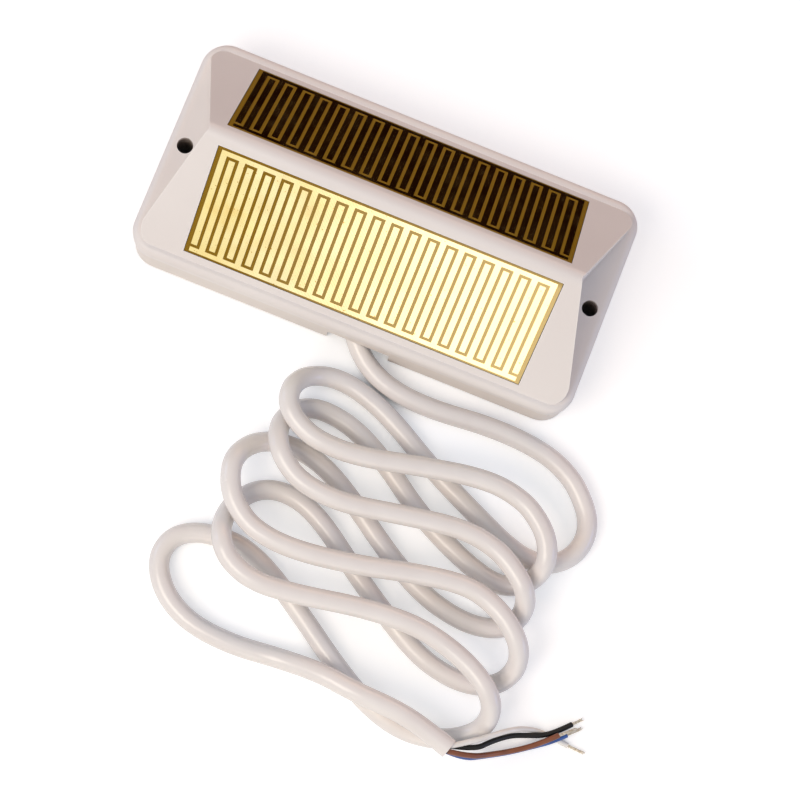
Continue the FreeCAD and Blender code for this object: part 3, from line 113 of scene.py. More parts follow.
# %% [markdown]
# ## The camera
#
# The photograph looks down steeply, at about 80 degrees, with the ridge running down to the right.
# The camera's place was worked out from the corners of the two boards, the ridge and the fixing holes.
# It could be turned by three angles, but the three axes of its view say the same without an order of
# turns to get wrong: they are the columns of its matrix. The long lens keeps parallel edges nearly
# parallel.

# %% Place the camera
camera_data = bpy.data.cameras.new("camera")
camera_data.lens = 110.2
camera_data.sensor_width = 36
camera_data.clip_start = 0.05
camera = bpy.data.objects.new("camera", camera_data)
scene.collection.objects.link(camera)
right = Vector((0.92811132, 0.36282063, 0.08348992))
up = Vector((-0.37178301, 0.91505633, 0.15636273))
back = Vector((-0.01966636, -0.17616216, 0.98416469))
place = Vector((6.9845, -148.9131, 622.6318)) * MM
camera.matrix_world = Matrix((
    (right.x, up.x, back.x, place.x),
    (right.y, up.y, back.y, place.y),
    (right.z, up.z, back.z, place.z),
    (0, 0, 0, 1),
))
scene.camera = camera
middle = Vector((0, 0, 20)) * MM
print("camera is %.3f m from the middle of the housing" % (place - middle).length)

# %% [markdown]
# ## The cord
#
# About a metre of round cord leaves the housing and is wound into a hank: five loose turns at each
# end, with the strands between them crossing like a figure of eight. It could be a bent cylinder, but
# a spline with a round bevel stays a real cord: one line, one thickness. The control points are set
# so that the cord follows the photograph to within a millimetre. Each has a place on the table and a
# rise above it, because a strand that crosses over others is lifted by more than its own thickness.
# Most turns at the right come in high and end low, and most at the left do the opposite.

# %% Points of the cord
CORD = 5.2  # thickness in millimetres
LOW = 2.65  # height of its middle line where it lies on the table
LEAD = [(-0.4, -10.8, 3.25), (-0.4, -17.0, 3.25), (0.5, -24.5, 2.4), (6.0, -31.5, 0.6), (14.5, -36.0, 0),
        (27.0, -37.3, 0), (44.5, -35.5, 0), (59.0, -36.5, 0)]
RIGHT_TURNS = [
    [(67.5, -40.0, 0), (72.5, -44.5, 0), (75.8, -49.0, 0), (76.8, -54.0, 0), (75.3, -59.0, 0),
     (71.5, -62.8, 0), (66.0, -64.3, 0)],
    [(57.5, -51.5, 8.6), (63.5, -55.3, 8.8), (67.2, -59.5, 9.0), (69.0, -64.8, 8.0), (67.3, -69.8, 1.8),
     (62.5, -72.6, 0)],
    [(55.5, -65.5, 8.6), (61.5, -68.8, 8.8), (66.2, -72.6, 9.0), (68.4, -77.6, 4.8), (66.2, -82.2, 0.2),
     (61.0, -84.6, 0)],
    [(52.5, -77.0, 8.6), (60.0, -79.0, 8.8), (66.0, -82.5, 9.0), (70.4, -87.0, 7.8), (71.6, -92.0, 4.2),
     (69.2, -96.5, 0.6), (64.0, -99.0, 0)],
    [(53.0, -93.0, 8.6), (60.5, -95.8, 8.8), (66.0, -99.3, 9.0), (69.4, -103.5, 7.0), (69.2, -108.5, 2.6),
     (65.0, -112.5, 0), (59.0, -115.3, 0)],
]
LOW_STRANDS = [
    [(59.0, -63.0, 0), (47.5, -58.0, 0), (33.5, -51.5, 0), (19.5, -43.5, 0)],
    [(57.0, -72.8, 0), (47.0, -69.5, 0), (34.5, -63.5, 0), (21.0, -54.0, 0)],
    [(53.5, -85.0, 0), (43.0, -82.5, 0), (31.0, -76.0, 0), (18.0, -67.0, 0)],
    [(57.0, -99.5, 0), (47.5, -97.3, 0), (36.5, -91.0, 0), (25.5, -84.0, 0)],
    [(50.0, -116.3, 0), (40.0, -113.5, 0), (29.0, -107.3, 0), (16.5, -98.8, 0)],
]
LEFT_TURNS = [
    [(10.5, -40.0, 0), (3.5, -38.8, 0), (-2.0, -39.8, 1.0), (-6.2, -42.8, 4.5), (-7.8, -47.3, 8.4),
     (-6.3, -51.8, 9.0), (-2.0, -55.0, 8.8)],
    [(11.5, -49.3, 0), (4.5, -47.9, 0), (-1.0, -48.2, 0), (-5.2, -50.9, 0), (-7.0, -55.8, 5.0),
     (-5.6, -61.2, 8.8), (-1.5, -65.5, 8.8)],
    [(9.0, -61.8, 0), (3.0, -60.0, 0), (-2.5, -59.5, 0), (-8.0, -60.5, 1.0), (-12.3, -63.8, 4.0),
     (-14.5, -69.0, 8.0), (-13.0, -75.0, 9.0), (-9.5, -79.8, 8.8)],
    [(17.0, -77.8, 0), (10.5, -73.7, 0), (4.5, -71.5, 0), (-1.5, -71.3, 0), (-6.5, -73.5, 0),
     (-10.3, -78.5, 0.2), (-11.2, -84.5, 5.4), (-9.5, -89.5, 9.0), (-5.5, -93.5, 8.8)],
    [(5.0, -91.5, 0), (-3.5, -88.0, 0), (-10.5, -87.8, 0), (-16.5, -88.9, 0), (-21.2, -92.0, 0),
     (-22.8, -97.0, 0), (-21.3, -102.0, 0), (-16.5, -107.3, 0)],
]
HIGH_STRANDS = [
    [(4.0, -57.0, 8.6), (14.5, -57.0, 8.6), (30.0, -53.3, 8.6), (47.0, -50.0, 8.6)],
    [(4.5, -68.5, 8.6), (15.0, -69.5, 8.6), (31.5, -66.3, 8.6), (46.0, -64.0, 8.6)],
    [(-3.0, -83.8, 8.6), (7.5, -85.0, 8.6), (23.5, -82.8, 8.6), (41.0, -78.5, 8.6)],
    [(2.0, -96.0, 8.6), (13.0, -95.0, 8.6), (29.0, -92.0, 8.6), (43.0, -91.0, 8.6)],
    [(-8.5, -111.0, 0), (3.0, -112.0, 0), (14.5, -110.8, 0), (26.0, -110.6, 5.5), (35.0, -112.0, 7.6),
     (47.5, -112.5, 7.4), (56.5, -114.5, 7.27), (62.6, -116.5, 7.27)],
]
walk = list(LEAD)
for right_turn, low_strand, left_turn, high_strand in zip(RIGHT_TURNS, LOW_STRANDS, LEFT_TURNS,
                                                           HIGH_STRANDS):
    walk += right_turn + low_strand + left_turn + high_strand
cord_points = [(x, y, LOW + rise) for x, y, rise in walk]
print("points along the cord:", len(cord_points))

# %% [markdown]
# A NURBS spline is pulled towards its control points and touches only the first and the last, which is
# how a stiff cord rounds a corner. Its order is set after the points are there, because before that it
# would drop to straight runs. The bevel is a circle of 1 m that each point scales down by its radius, because
# Blender adds the points' radius to the curve's box.


# %% Lay the cord
def along(points, name, diameter=0.0):
    """One smooth spline through the pull of these points, given in millimetres."""
    data = bpy.data.curves.new(name, "CURVE")
    data.dimensions = "3D"
    data.bevel_depth = 1.0 if diameter else 0.0
    data.bevel_resolution = 6
    data.resolution_u = 8
    data.use_fill_caps = diameter > 0
    spline = data.splines.new("NURBS")
    spline.points.add(len(points) - 1)
    for control, point in zip(spline.points, points):
        control.co = [c * MM for c in point] + [1]
        control.radius = diameter / 2 * MM
    spline.order_u = 3
    spline.use_endpoint_u = True
    piece = bpy.data.objects.new(name, data)
    scene.collection.objects.link(piece)
    return piece


cord = along(cord_points, "cord", CORD)
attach(cord, "root")
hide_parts("cord_lead", "cord_hank")
print("cord: %.1f mm thick" % CORD)

# %% [markdown]
# ## The free cores
#
# At its end the sheath is cut back, and four thin cores come out: white, black, brown and blue. They
# start side by side in the cut end and fall to the table in loose arcs. They are built like the cord,
# each as one spline that stops where its insulation is stripped. The first two numbers of a route say
# on which side of the sheath's middle line the core starts, and whether above or below it. The last
# point of a route is the tip of the bare strands, so the core itself leaves it out.

# %% Lay the free cores
CORE = 1.4  # thickness in millimetres
END_HEADING = -0.17  # turns the square of cores in the cut end, in radians from the X axis
CORE_SIDE = 0.778  # sideways and up or down from the middle, which leaves 0.16 between neighbours
CORE_ROUTES = {
    "white": ((1, 1), [(67.9, -112.4, 10.2), (76.0, -105.9, 6.4), (81.3, -103.7, 1.9),
                       (85.8, -103.7, 0.8), (91.3, -104.3, 0.8), (96.0, -104.6, 0.8)]),
    "black": ((1, -1), [(68.9, -114.2, 8.6), (72.0, -110.9, 6.4), (76.4, -107.4, 3.9),
                        (80.7, -105.7, 2.7), (84.6, -104.2, 2.7), (88.0, -101.4, 2.0),
                        (90.4, -98.9, 0.9), (92.6, -96.6, 0.8)]),
    "brown": ((-1, 1), [(68.1, -116.5, 9.4), (73.6, -113.6, 5.3), (79.2, -110.3, 2.9),
                        (84.2, -106.6, 3.2), (88.0, -102.8, 3.6), (91.8, -99.6, 2.5)]),
    "blue": ((-1, -1), [(67.2, -117.3, 6.8), (72.2, -114.6, 3.0), (77.8, -111.4, 1.0),
                        (82.9, -107.8, 1.1), (87.1, -104.8, 2.4), (90.0, -101.9, 2.1),
                        (93.2, -98.9, 0.8)]),
}


def core_begin(aside, above):
    """Where a core leaves the cut end of the sheath, in millimetres."""
    x, y, z = cord_points[-1]
    return (x - aside * CORE_SIDE * math.sin(END_HEADING), y + aside * CORE_SIDE * math.cos(END_HEADING),
            z + above * CORE_SIDE)


cores = {}
for colour, (side, route) in CORE_ROUTES.items():
    cores[colour] = along([core_begin(*side)] + route[:-1], colour + "_wire", CORE)
    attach(cores[colour], "root")
    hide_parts(colour + "_core")
print("cores:", ", ".join(cores))

# %% [markdown]
# ## The stripped ends
#
# Inside the insulation are seven fine tinned copper wires, twisted like a rope. A plain rod would do
# from far away, but the eye knows bare strands by their twist and their frayed tips. Each wire is a
# thin tube that winds round the core's own line. Its points are read from the core's spline, so the
# strands leave the insulation in its exact direction. The last wire runs straight down the middle and
# the other six wind round it. Towards the tips they spread, and some end up to four steps short.

# %% Twist the stripped ends
STRAND = 0.25  # thickness of a wire in millimetres
LAY = 9.0  # length of one turn of the twist
STEP = 0.25  # from one ring of a wire to the next
HIDDEN = 1.0  # length that starts inside the insulation
CUT_BACK = (0, 3, 1, 4, 0, 2, 3)  # steps that each wire ends short of the tip
CORNERS = 8  # of a wire's cross section
APART = 1.02  # wires lie this many thicknesses apart, so that they don't run into each other
SPREAD_FROM = 0.6  # share of the length after which the wires part
SPREAD, SPREAD_VARIES, WIRE_PHASE = 1.2, 0.5, 2.4  # how far they part, and how much that differs


def line_of(points):
    """Points on the smooth line itself, read from a spline without thickness, in millimetres."""
    guide = along(points, "guide")
    bpy.context.view_layer.update()
    flat = bpy.data.meshes.new_from_object(guide.evaluated_get(bpy.context.evaluated_depsgraph_get()))
    line = [v.co / MM for v in flat.vertices]
    bpy.data.meshes.remove(flat)
    bpy.data.objects.remove(guide)
    return line


def finer(line, step):
    """The same line with a point at every step along it."""
    fine = [line[0]]
    for a, b in zip(line, line[1:]):
        pieces = max(1, round((b - a).length / step))
        fine += [a.lerp(b, k / pieces) for k in range(1, pieces + 1)]
    return fine


def strands(name, line):
    """Twisted wires round a line, with tips that spread and differ in length."""
    verts, faces = [], []
    total = len(line)
    around = len(CUT_BACK) - 1
    for wire, cut_back in enumerate(CUT_BACK):
        first, rings = len(verts), total - cut_back
        for k in range(rings):
            heading = (line[min(k + 1, total - 1)] - line[max(k - 1, 0)]).normalized()
            aside = heading.cross(Vector((0, 0, 1))).normalized()
            above = aside.cross(heading)
            parted = max(0.0, k / total - SPREAD_FROM) ** 2
            spread = parted * (SPREAD + SPREAD_VARIES * math.sin(wire * WIRE_PHASE))
            angle = 2 * math.pi * wire / around + 2 * math.pi * k * STEP / LAY
            reach = 0.0 if wire == around else STRAND * APART + spread
            centre = line[k] + reach * (math.cos(angle) * aside + math.sin(angle) * above)
            for corner in range(CORNERS):
                turn = 2 * math.pi * corner / CORNERS
                verts.append((centre + STRAND / 2 * (math.cos(turn) * aside + math.sin(turn) * above)) * MM)
        for ring in range(first, first + (rings - 1) * CORNERS, CORNERS):
            for corner in range(CORNERS):
                a, b = ring + corner, ring + (corner + 1) % CORNERS
                faces.append((a, b, b + CORNERS, a + CORNERS))
        last = first + (rings - 1) * CORNERS
        faces.append(tuple(range(first + CORNERS - 1, first - 1, -1)))
        faces.append(tuple(range(last, last + CORNERS)))
    data = bpy.data.meshes.new(name)
    data.from_pydata(verts, [], faces)
    for face in data.polygons:
        face.use_smooth = len(face.vertices) == 4
    piece = bpy.data.objects.new(name, data)
    scene.collection.objects.link(piece)
    return piece


ends = {}
for colour, (side, route) in CORE_ROUTES.items():
    line = finer(line_of([core_begin(*side)] + route), STEP)
    bared = math.dist(route[-1], route[-2]) + HIDDEN
    ends[colour] = strands(colour + "_strands", line[-round(bared / STEP):])
    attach(ends[colour], "root")
    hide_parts("tinned_ends")
    covered = line_of([core_begin(*side)] + route[:-1])

# %% [markdown]
# ## The table
#
# A product photograph stands on white paper. The floor is pale and matt. For the camera, and in
# mirrors, it also glows a little, so that it comes out white without more light on the sensor, and
# the soft shadows still show. The glow stops where something covers the paper within 10 mm, which
# paints shade into the screw holes and close around the housing and the cord. Without that, the
# screw holes would show grey in place of black.

# %% Lay the white paper
PAPER_GLOW = 0.45
FAR = 3  # from the middle to an edge of the table, in metres


def seen_directly(tree):
    """1 for rays from the camera, a mirror or through glass, and 0 for rays that only light things."""
    ray = add(tree, "ShaderNodeLightPath")
    mirrored = add(tree, "ShaderNodeMath", {
        0: ray.outputs["Is Camera Ray"], 1: ray.outputs["Is Glossy Ray"]}, operation="ADD")
    return add(tree, "ShaderNodeMath", {
        0: mirrored.outputs[0], 1: ray.outputs["Is Transmission Ray"]}, operation="ADD",
        use_clamp=True).outputs[0]


table_mesh = bpy.data.meshes.new("table")
table_mesh.from_pydata([(-FAR, -FAR, 0), (FAR, -FAR, 0), (FAR, FAR, 0), (-FAR, FAR, 0)], [], [(0, 1, 2, 3)])
table = bpy.data.objects.new("table", table_mesh)
scene.collection.objects.link(table)
paper, tree = material("white_paper")
seen = seen_directly(tree)
# Painted shade: the paper's glow fades where something covers it within 10 mm, in the screw holes and close
# around the housing and the cord.
roof = add(tree, "ShaderNodeAmbientOcclusion", {"Distance": 10 * MM}, samples=8)
bare = add(tree, "ShaderNodeMapRange", {"Value": roof.outputs["AO"], "From Min": 0.1, "From Max": 0.4,
                                        "To Max": PAPER_GLOW})
glow = add(tree, "ShaderNodeMath", {0: seen, 1: bare.outputs[0]}, operation="MULTIPLY")
shader = add(tree, "ShaderNodeBsdfPrincipled", {
    "Base Color": linear("e1e1e1"), "Roughness": 0.95, "Specular IOR Level": 0.1,
    "Emission Color": linear("ffffff"), "Emission Strength": glow.outputs[0]})
add(tree, "ShaderNodeOutputMaterial", {"Surface": shader.outputs["BSDF"]})
table_mesh.materials.append(paper)
print("table: %.0f m wide" % table.dimensions.x)

# %% [markdown]
# ## The sky of the studio
#
# White walls all round a studio send some light from every side. The world does that here. Lamps
# alone would leave the shaded notch black. The camera and mirrors see it pure white, while its light on
# the object is weaker, so the plastic keeps its own tone.

# %% Fill the studio with soft light
world = bpy.data.worlds.new("studio")
scene.world = world
world.use_nodes = True
tree = world.node_tree
tree.nodes.clear()
seen = seen_directly(tree)
fill = add(tree, "ShaderNodeBackground", {"Color": linear("eef5fe"), "Strength": 0.42})
white = add(tree, "ShaderNodeBackground", {"Color": linear("ffffff"), "Strength": 1.0})
sky = add(tree, "ShaderNodeMixShader", {0: seen, 1: fill.outputs[0], 2: white.outputs[0]})
add(tree, "ShaderNodeOutputWorld", {"Surface": sky.outputs[0]})
print("fill light:", fill.inputs["Strength"].default_value)

# %% [markdown]
# ## The lamps
#
# A softbox high at the front left gives the front slope its light and leaves the right-hand notch in
# shade. The front board is a mirror, tilted so that the camera sees in it what stands low in front of
# the table. A wide panel stands there, a little to the right, so the gold grows brighter from left to
# right. Weak lamps at the two ends are cool and the one behind is warm, which is how the photograph
# tints those sides.


# %% Set up the softboxes
def softbox(name, stand, aim, width, height, watts, colour):
    """A rectangular lamp that points from where it stands to its aim, in metres."""
    data = bpy.data.lights.new(name, "AREA")
    data.shape = "RECTANGLE"
    data.size = width
    data.size_y = height
    data.energy = watts
    data.color = linear(colour)[:3]
    lamp = bpy.data.objects.new(name, data)
    scene.collection.objects.link(lamp)
    lamp.location = stand
    lamp.rotation_euler = (Vector(aim) - Vector(stand)).to_track_quat("-Z", "Y").to_euler()


softbox("key", (-0.37, -0.55, 0.84), (0, -0.03, 0.0), 0.55, 0.55, 5.4, "fff2e4")
softbox("front_panel", (0.47, -1.20, 0.42), (0.05, 0, 0.03), 1.05, 0.80, 3.0, "fff5e8")
softbox("cool_right", (0.95, 0.06, 0.34), (0.04, 0, 0.01), 0.4, 0.3, 1.0, "729aff")
softbox("cool_left", (-0.95, 0.04, 0.42), (-0.04, 0, 0.01), 0.4, 0.3, 1.2, "a8c8ff")
softbox("warm_back", (0.05, 1.00, 0.45), (0, 0, 0.02), 0.6, 0.4, 2.9, "ffc08c")
print("lamps:", len(bpy.data.lights))

# %% [markdown]
# ## The black card
#
# The camera sees the paper behind the sensor in the back board, which would be as bright as the front
# one. In the photograph it is nearly black. A photographer lays a black card there, and so does this
# scene. It lies flat from just behind the housing and is folded up at its far edge. It is seen in
# mirrors alone, so it throws no shadow and doesn't show.

# %% Lay the black card behind
HALF, FRONT, FOLD = 0.6, 0.05, 0.50  # half its width, and where it begins and is folded, in metres
LIFT, TOP = 0.001, 0.28  # its height on the table and at the top of the fold
card_mesh = bpy.data.meshes.new("black_card")
card_mesh.from_pydata([(-HALF, FRONT, LIFT), (HALF, FRONT, LIFT), (HALF, FOLD, LIFT), (-HALF, FOLD, LIFT),
                       (HALF, FOLD, TOP), (-HALF, FOLD, TOP)], [], [(0, 1, 2, 3), (3, 2, 4, 5)])
card = bpy.data.objects.new("black_card", card_mesh)
scene.collection.objects.link(card)
card.visible_camera = False
card.visible_diffuse = False
card.visible_shadow = False
felt, tree = material("black_felt")
shader = add(tree, "ShaderNodeBsdfDiffuse", {"Color": linear("160603")})
add(tree, "ShaderNodeOutputMaterial", {"Surface": shader.outputs["BSDF"]})
card_mesh.materials.append(felt)
print("card: %.1f m wide" % card.dimensions.x)

# %% [markdown]
# ## The housing plastic
#
# The cover and the base are injection moulded in warm white ASA, a plastic that stands years of sun.
# The steel mould was spark eroded, which gives a fine, even grain and a satin surface. The real grain
# is about 0.2 mm. It is drawn at 0.45 mm, because finer would not show. Where the plastic shrank over
# its ribs the walls are very slightly wavy. The colour darkens with how closed in a point is: a little
# of that is dust in the creases, and the rest is painted shade, down to nearly black in the screw
# holes. Edges are painted a little paler, partly as rubbing and partly as a painted highlight. The
# base was moulded from another batch, a shade darker and warmer, so it gets a copy with other tones.

# %% Housing: moulded ASA
asa, tree = material("spark_textured_asa")
where = add(tree, "ShaderNodeTexCoord").outputs["Object"]
batch = add(tree, "ShaderNodeTexNoise", {"Vector": where, "Scale": per(35), "Detail": 2.0})
tone = add(tree, "ShaderNodeValToRGB", {"Fac": batch.outputs["Fac"]},
           stops=[(0.3, linear("e4dcd7")), (0.7, linear("e9e2dd"))])
# Painted shade with a little dust: the colour darkens with how closed in a point is, down to nearly black in
# the screw holes.
crease = add(tree, "ShaderNodeAmbientOcclusion", {"Distance": 5 * MM}, samples=8)
dust_and_shade = add(tree, "ShaderNodeValToRGB", {"Fac": crease.outputs["AO"]},
           stops=[(0.05, linear("110e0c")), (0.2, linear("857972")), (0.34, linear("ddd5cf")),
                  (0.52, linear("ffffff"))])
dusted_and_shaded = add(tree, "ShaderNodeMix", {0: 1.0, 6: tone.outputs["Color"], 7: dust_and_shade.outputs["Color"]},
            data_type="RGBA", blend_type="MULTIPLY")
# Edges are painted paler: partly rubbing, partly a painted highlight along them.
rounded = add(tree, "ShaderNodeBevel", {"Radius": 0.5 * MM}, samples=4)
face = add(tree, "ShaderNodeNewGeometry")
turned = add(tree, "ShaderNodeVectorMath", {0: rounded.outputs["Normal"], 1: face.outputs["Normal"]},
             operation="DOT_PRODUCT")
edge = add(tree, "ShaderNodeMapRange", {"Value": turned.outputs["Value"], "From Min": 0.995,
                                        "From Max": 0.93, "To Max": 0.6})
edge_wear_and_highlight = add(tree, "ShaderNodeMix", {0: edge.outputs[0], 6: dusted_and_shaded.outputs[2], 7: linear("f3eeea")},
           data_type="RGBA")
grain = add(tree, "ShaderNodeTexNoise", {"Vector": where, "Scale": per(0.45), "Detail": 2.0})
sink = add(tree, "ShaderNodeTexNoise", {"Vector": where, "Scale": per(14), "Detail": 1.0})
waves = add(tree, "ShaderNodeBump", {"Height": sink.outputs["Fac"], "Distance": 0.10 * MM, "Strength": 0.5})
relief = add(tree, "ShaderNodeBump", {"Height": grain.outputs["Fac"], "Distance": 0.02 * MM,
                                      "Strength": 0.5, "Normal": waves.outputs["Normal"]})
handled = add(tree, "ShaderNodeTexNoise", {"Vector": where, "Scale": per(9), "Detail": 4.0})
sheen = add(tree, "ShaderNodeMapRange", {"Value": handled.outputs["Fac"], "To Min": 0.40, "To Max": 0.52})
shader = add(tree, "ShaderNodeBsdfPrincipled", {
    "Base Color": edge_wear_and_highlight.outputs[2], "Roughness": sheen.outputs["Result"], "IOR": 1.52,
    "Normal": relief.outputs["Normal"]})
add(tree, "ShaderNodeOutputMaterial", {"Surface": shader.outputs["BSDF"]})
base_asa = asa.copy()
base_asa.name = "spark_textured_asa_base"
warmer = base_asa.node_tree.nodes[tone.name].color_ramp.elements
warmer[0].color, warmer[1].color = linear("e0d6cd"), linear("e6dcd3")
print("housing grain scale: %.0f" % grain.inputs["Scale"].default_value)

# %% [markdown]
# ## The laminate of the sensing boards
#
# Each board is bare glass-fibre laminate, pressed from cloth of glass threads 0.5 mm apart in
# yellow-brown epoxy. It shows as thin lines between the gold fingers. The two boards lean opposite
# ways, but on both the way down the slope is the height times the root of two, so one set of
# coordinates lays the weave flat on both. The resin of the front board is painted paler, more and
# more towards its right end, as a painted highlight of the panel that stands in front. The combs need
# both of these too, so each is a function.


# %% Boards: glass-fibre laminate
THREAD = 0.5  # from one glass thread to the next, in millimetres


def on_slope(tree, axes):
    """Coordinates that lie flat on both leaning boards, from the separated axes."""
    down = add(tree, "ShaderNodeMath", {0: axes.outputs["Z"], 1: math.sqrt(2)}, operation="MULTIPLY")
    return add(tree, "ShaderNodeCombineXYZ", {"X": axes.outputs["X"], "Y": down.outputs[0]}).outputs[0]


def front_highlight(tree, axes, start, end, most):
    """A mask of painted highlight: 0 on the back slope. On the front one it grows to its most between two
    places along X, in mm.
    """
    on_front = add(tree, "ShaderNodeMapRange", {"Value": axes.outputs["Y"], "From Min": -2 * MM,
                                             "From Max": -4 * MM})
    along_x = add(tree, "ShaderNodeMapRange", {"Value": axes.outputs["X"], "From Min": start * MM,
                                               "From Max": end * MM, "To Max": most})
    return add(tree, "ShaderNodeMath", {0: along_x.outputs[0], 1: on_front.outputs[0]},
               operation="MULTIPLY").outputs[0]


laminate, tree = material("glass_fibre_laminate")
axes = add(tree, "ShaderNodeSeparateXYZ", {0: add(tree, "ShaderNodeTexCoord").outputs["Object"]})
flat = on_slope(tree, axes)
warp = add(tree, "ShaderNodeTexWave", {"Vector": flat, "Scale": bands(THREAD), "Distortion": 0.4},
           bands_direction="X")
weft = add(tree, "ShaderNodeTexWave", {"Vector": flat, "Scale": bands(THREAD), "Distortion": 0.4},
           bands_direction="Y")
weave = add(tree, "ShaderNodeMath", {0: warp.outputs["Fac"], 1: weft.outputs["Fac"]}, operation="MULTIPLY")
resin = add(tree, "ShaderNodeValToRGB", {"Fac": weave.outputs[0]},
            stops=[(0.0, linear("806008")), (1.0, linear("a07c14"))])
# Painted highlight: the front board's resin turns paler towards its right end.
resin_glare = front_highlight(tree, axes, -30, 45, 0.95)
resin_with_glare = add(tree, "ShaderNodeMix", {0: resin_glare, 6: resin.outputs["Color"], 7: linear("e4c886")},
           data_type="RGBA")
relief = add(tree, "ShaderNodeBump", {"Height": weave.outputs[0], "Distance": 0.02 * MM, "Strength": 0.4})
shader = add(tree, "ShaderNodeBsdfPrincipled", {
    "Base Color": resin_with_glare.outputs[2], "Roughness": 0.42, "IOR": 1.55, "Specular IOR Level": 0.12,
    "Normal": relief.outputs["Normal"]})
add(tree, "ShaderNodeOutputMaterial", {"Surface": shader.outputs["BSDF"]})

# %% [markdown]
# ## The gold combs
#
# The combs are etched copper, plated with nickel and a thin film of gold. Gold has a pale yellow base
# colour, is a full metal and is fairly smooth, because the plating follows the rolled copper. The
# glass cloth prints through faintly, the bath leaves clouds of thinner film and small pits, and
# handling leaves hazy spots. Without that unevenness a mirror this small looks like flat paint. The
# front combs are painted paler towards their right end, as a painted highlight of the panel in front.

# %% Combs: gold-plated copper
gold, tree = material("gold_plated_copper")
where = add(tree, "ShaderNodeTexCoord").outputs["Object"]
axes = add(tree, "ShaderNodeSeparateXYZ", {0: where})
cloud = add(tree, "ShaderNodeTexNoise", {"Vector": where, "Scale": per(16), "Detail": 3.0, "Roughness": 0.6})
film = add(tree, "ShaderNodeValToRGB", {"Fac": cloud.outputs["Fac"]},
           stops=[(0.28, linear("f1cb74")), (0.42, linear("f8e29a")), (0.66, linear("fceeb6"))])
# Painted highlight: the front combs turn paler towards their right end.
shine_level = front_highlight(tree, axes, -45, 20, 0.8)
film_with_glare = add(tree, "ShaderNodeMix", {0: shine_level, 6: film.outputs["Color"], 7: linear("fbe1b2")},
           data_type="RGBA")
speck = add(tree, "ShaderNodeTexNoise", {"Vector": where, "Scale": per(0.7), "Detail": 2.0})
pit = add(tree, "ShaderNodeValToRGB", {"Fac": speck.outputs["Fac"]},
          stops=[(0.24, linear("cfa45a")), (0.31, linear("ffffff"))])
pitted = add(tree, "ShaderNodeMix", {0: 1.0, 6: film_with_glare.outputs[2], 7: pit.outputs["Color"]},
             data_type="RGBA", blend_type="MULTIPLY")
threads = add(tree, "ShaderNodeTexWave", {"Vector": on_slope(tree, axes), "Scale": bands(THREAD),
                                          "Distortion": 0.6}, bands_direction="DIAGONAL")
bow = add(tree, "ShaderNodeTexNoise", {"Vector": where, "Scale": per(22), "Detail": 1.0})
waves = add(tree, "ShaderNodeBump", {"Height": bow.outputs["Fac"], "Distance": 0.25 * MM, "Strength": 0.5})
relief = add(tree, "ShaderNodeBump", {"Height": threads.outputs["Fac"], "Distance": 0.004 * MM,
                                      "Strength": 0.5, "Normal": waves.outputs["Normal"]})
touched = add(tree, "ShaderNodeTexNoise", {"Vector": where, "Scale": per(6), "Detail": 3.0})
haze = add(tree, "ShaderNodeMapRange", {"Value": touched.outputs["Fac"], "From Min": 0.3, "From Max": 0.7,
                                        "To Min": 0.11, "To Max": 0.2})
shader = add(tree, "ShaderNodeBsdfPrincipled", {
    "Base Color": pitted.outputs[2], "Metallic": 1.0, "Roughness": haze.outputs["Result"],
    "Normal": relief.outputs["Normal"]})
add(tree, "ShaderNodeOutputMaterial", {"Surface": shader.outputs["BSDF"]})
print("gold, linear:", [round(c, 2) for c in linear("fceeb6")[:3]])

# %% [markdown]
# ## The skin of the cord and its cores
#
# Flexible PVC is pressed through a round die onto the cores. It is glossy, and its skin has a faint
# orange peel and shallow dents where it lay against its neighbours on the drum. The sheath is warm
# white. The peel of the sheath is 1 mm, drawn coarser than it is so that it shows. The four core
# colours are the same PVC with pigment, so one function makes all of them and takes the two tones,
# the size of the peel and the roughness. It makes the red ribbons inside the housing as well. The
# soot in the black core dulls its skin, so it reflects half as much.


# %% Cord: extruded PVC
def drawn_pvc(name, dark, light, peel, roughness):
    """Extruded PVC skin from two near tones, with its peel in millimetres."""
    skin, tree = material(name)
    where = add(tree, "ShaderNodeTexCoord").outputs["Object"]
    cloud = add(tree, "ShaderNodeTexNoise", {"Vector": where, "Scale": per(peel * 9), "Detail": 3.0})
    tone = add(tree, "ShaderNodeValToRGB", {"Fac": cloud.outputs["Fac"]},
               stops=[(0.3, linear(dark)), (0.7, linear(light))])
    dents = add(tree, "ShaderNodeTexNoise", {"Vector": where, "Scale": per(peel * 5), "Detail": 1.0})
    soft = add(tree, "ShaderNodeBump", {"Height": dents.outputs["Fac"], "Distance": peel * 0.08 * MM,
                                        "Strength": 0.5})
    orange = add(tree, "ShaderNodeTexNoise", {"Vector": where, "Scale": per(peel), "Detail": 2.0})
    relief = add(tree, "ShaderNodeBump", {"Height": orange.outputs["Fac"], "Distance": peel * 0.02 * MM,
                                          "Strength": 0.5, "Normal": soft.outputs["Normal"]})
    shine_level = add(tree, "ShaderNodeMapRange", {"Value": cloud.outputs["Fac"], "To Min": roughness - 0.04,
                                              "To Max": roughness + 0.04})
    shader = add(tree, "ShaderNodeBsdfPrincipled", {
        "Base Color": tone.outputs["Color"], "Roughness": shine_level.outputs["Result"], "IOR": 1.54,
        "Normal": relief.outputs["Normal"]})
    add(tree, "ShaderNodeOutputMaterial", {"Surface": shader.outputs["BSDF"]})
    return skin


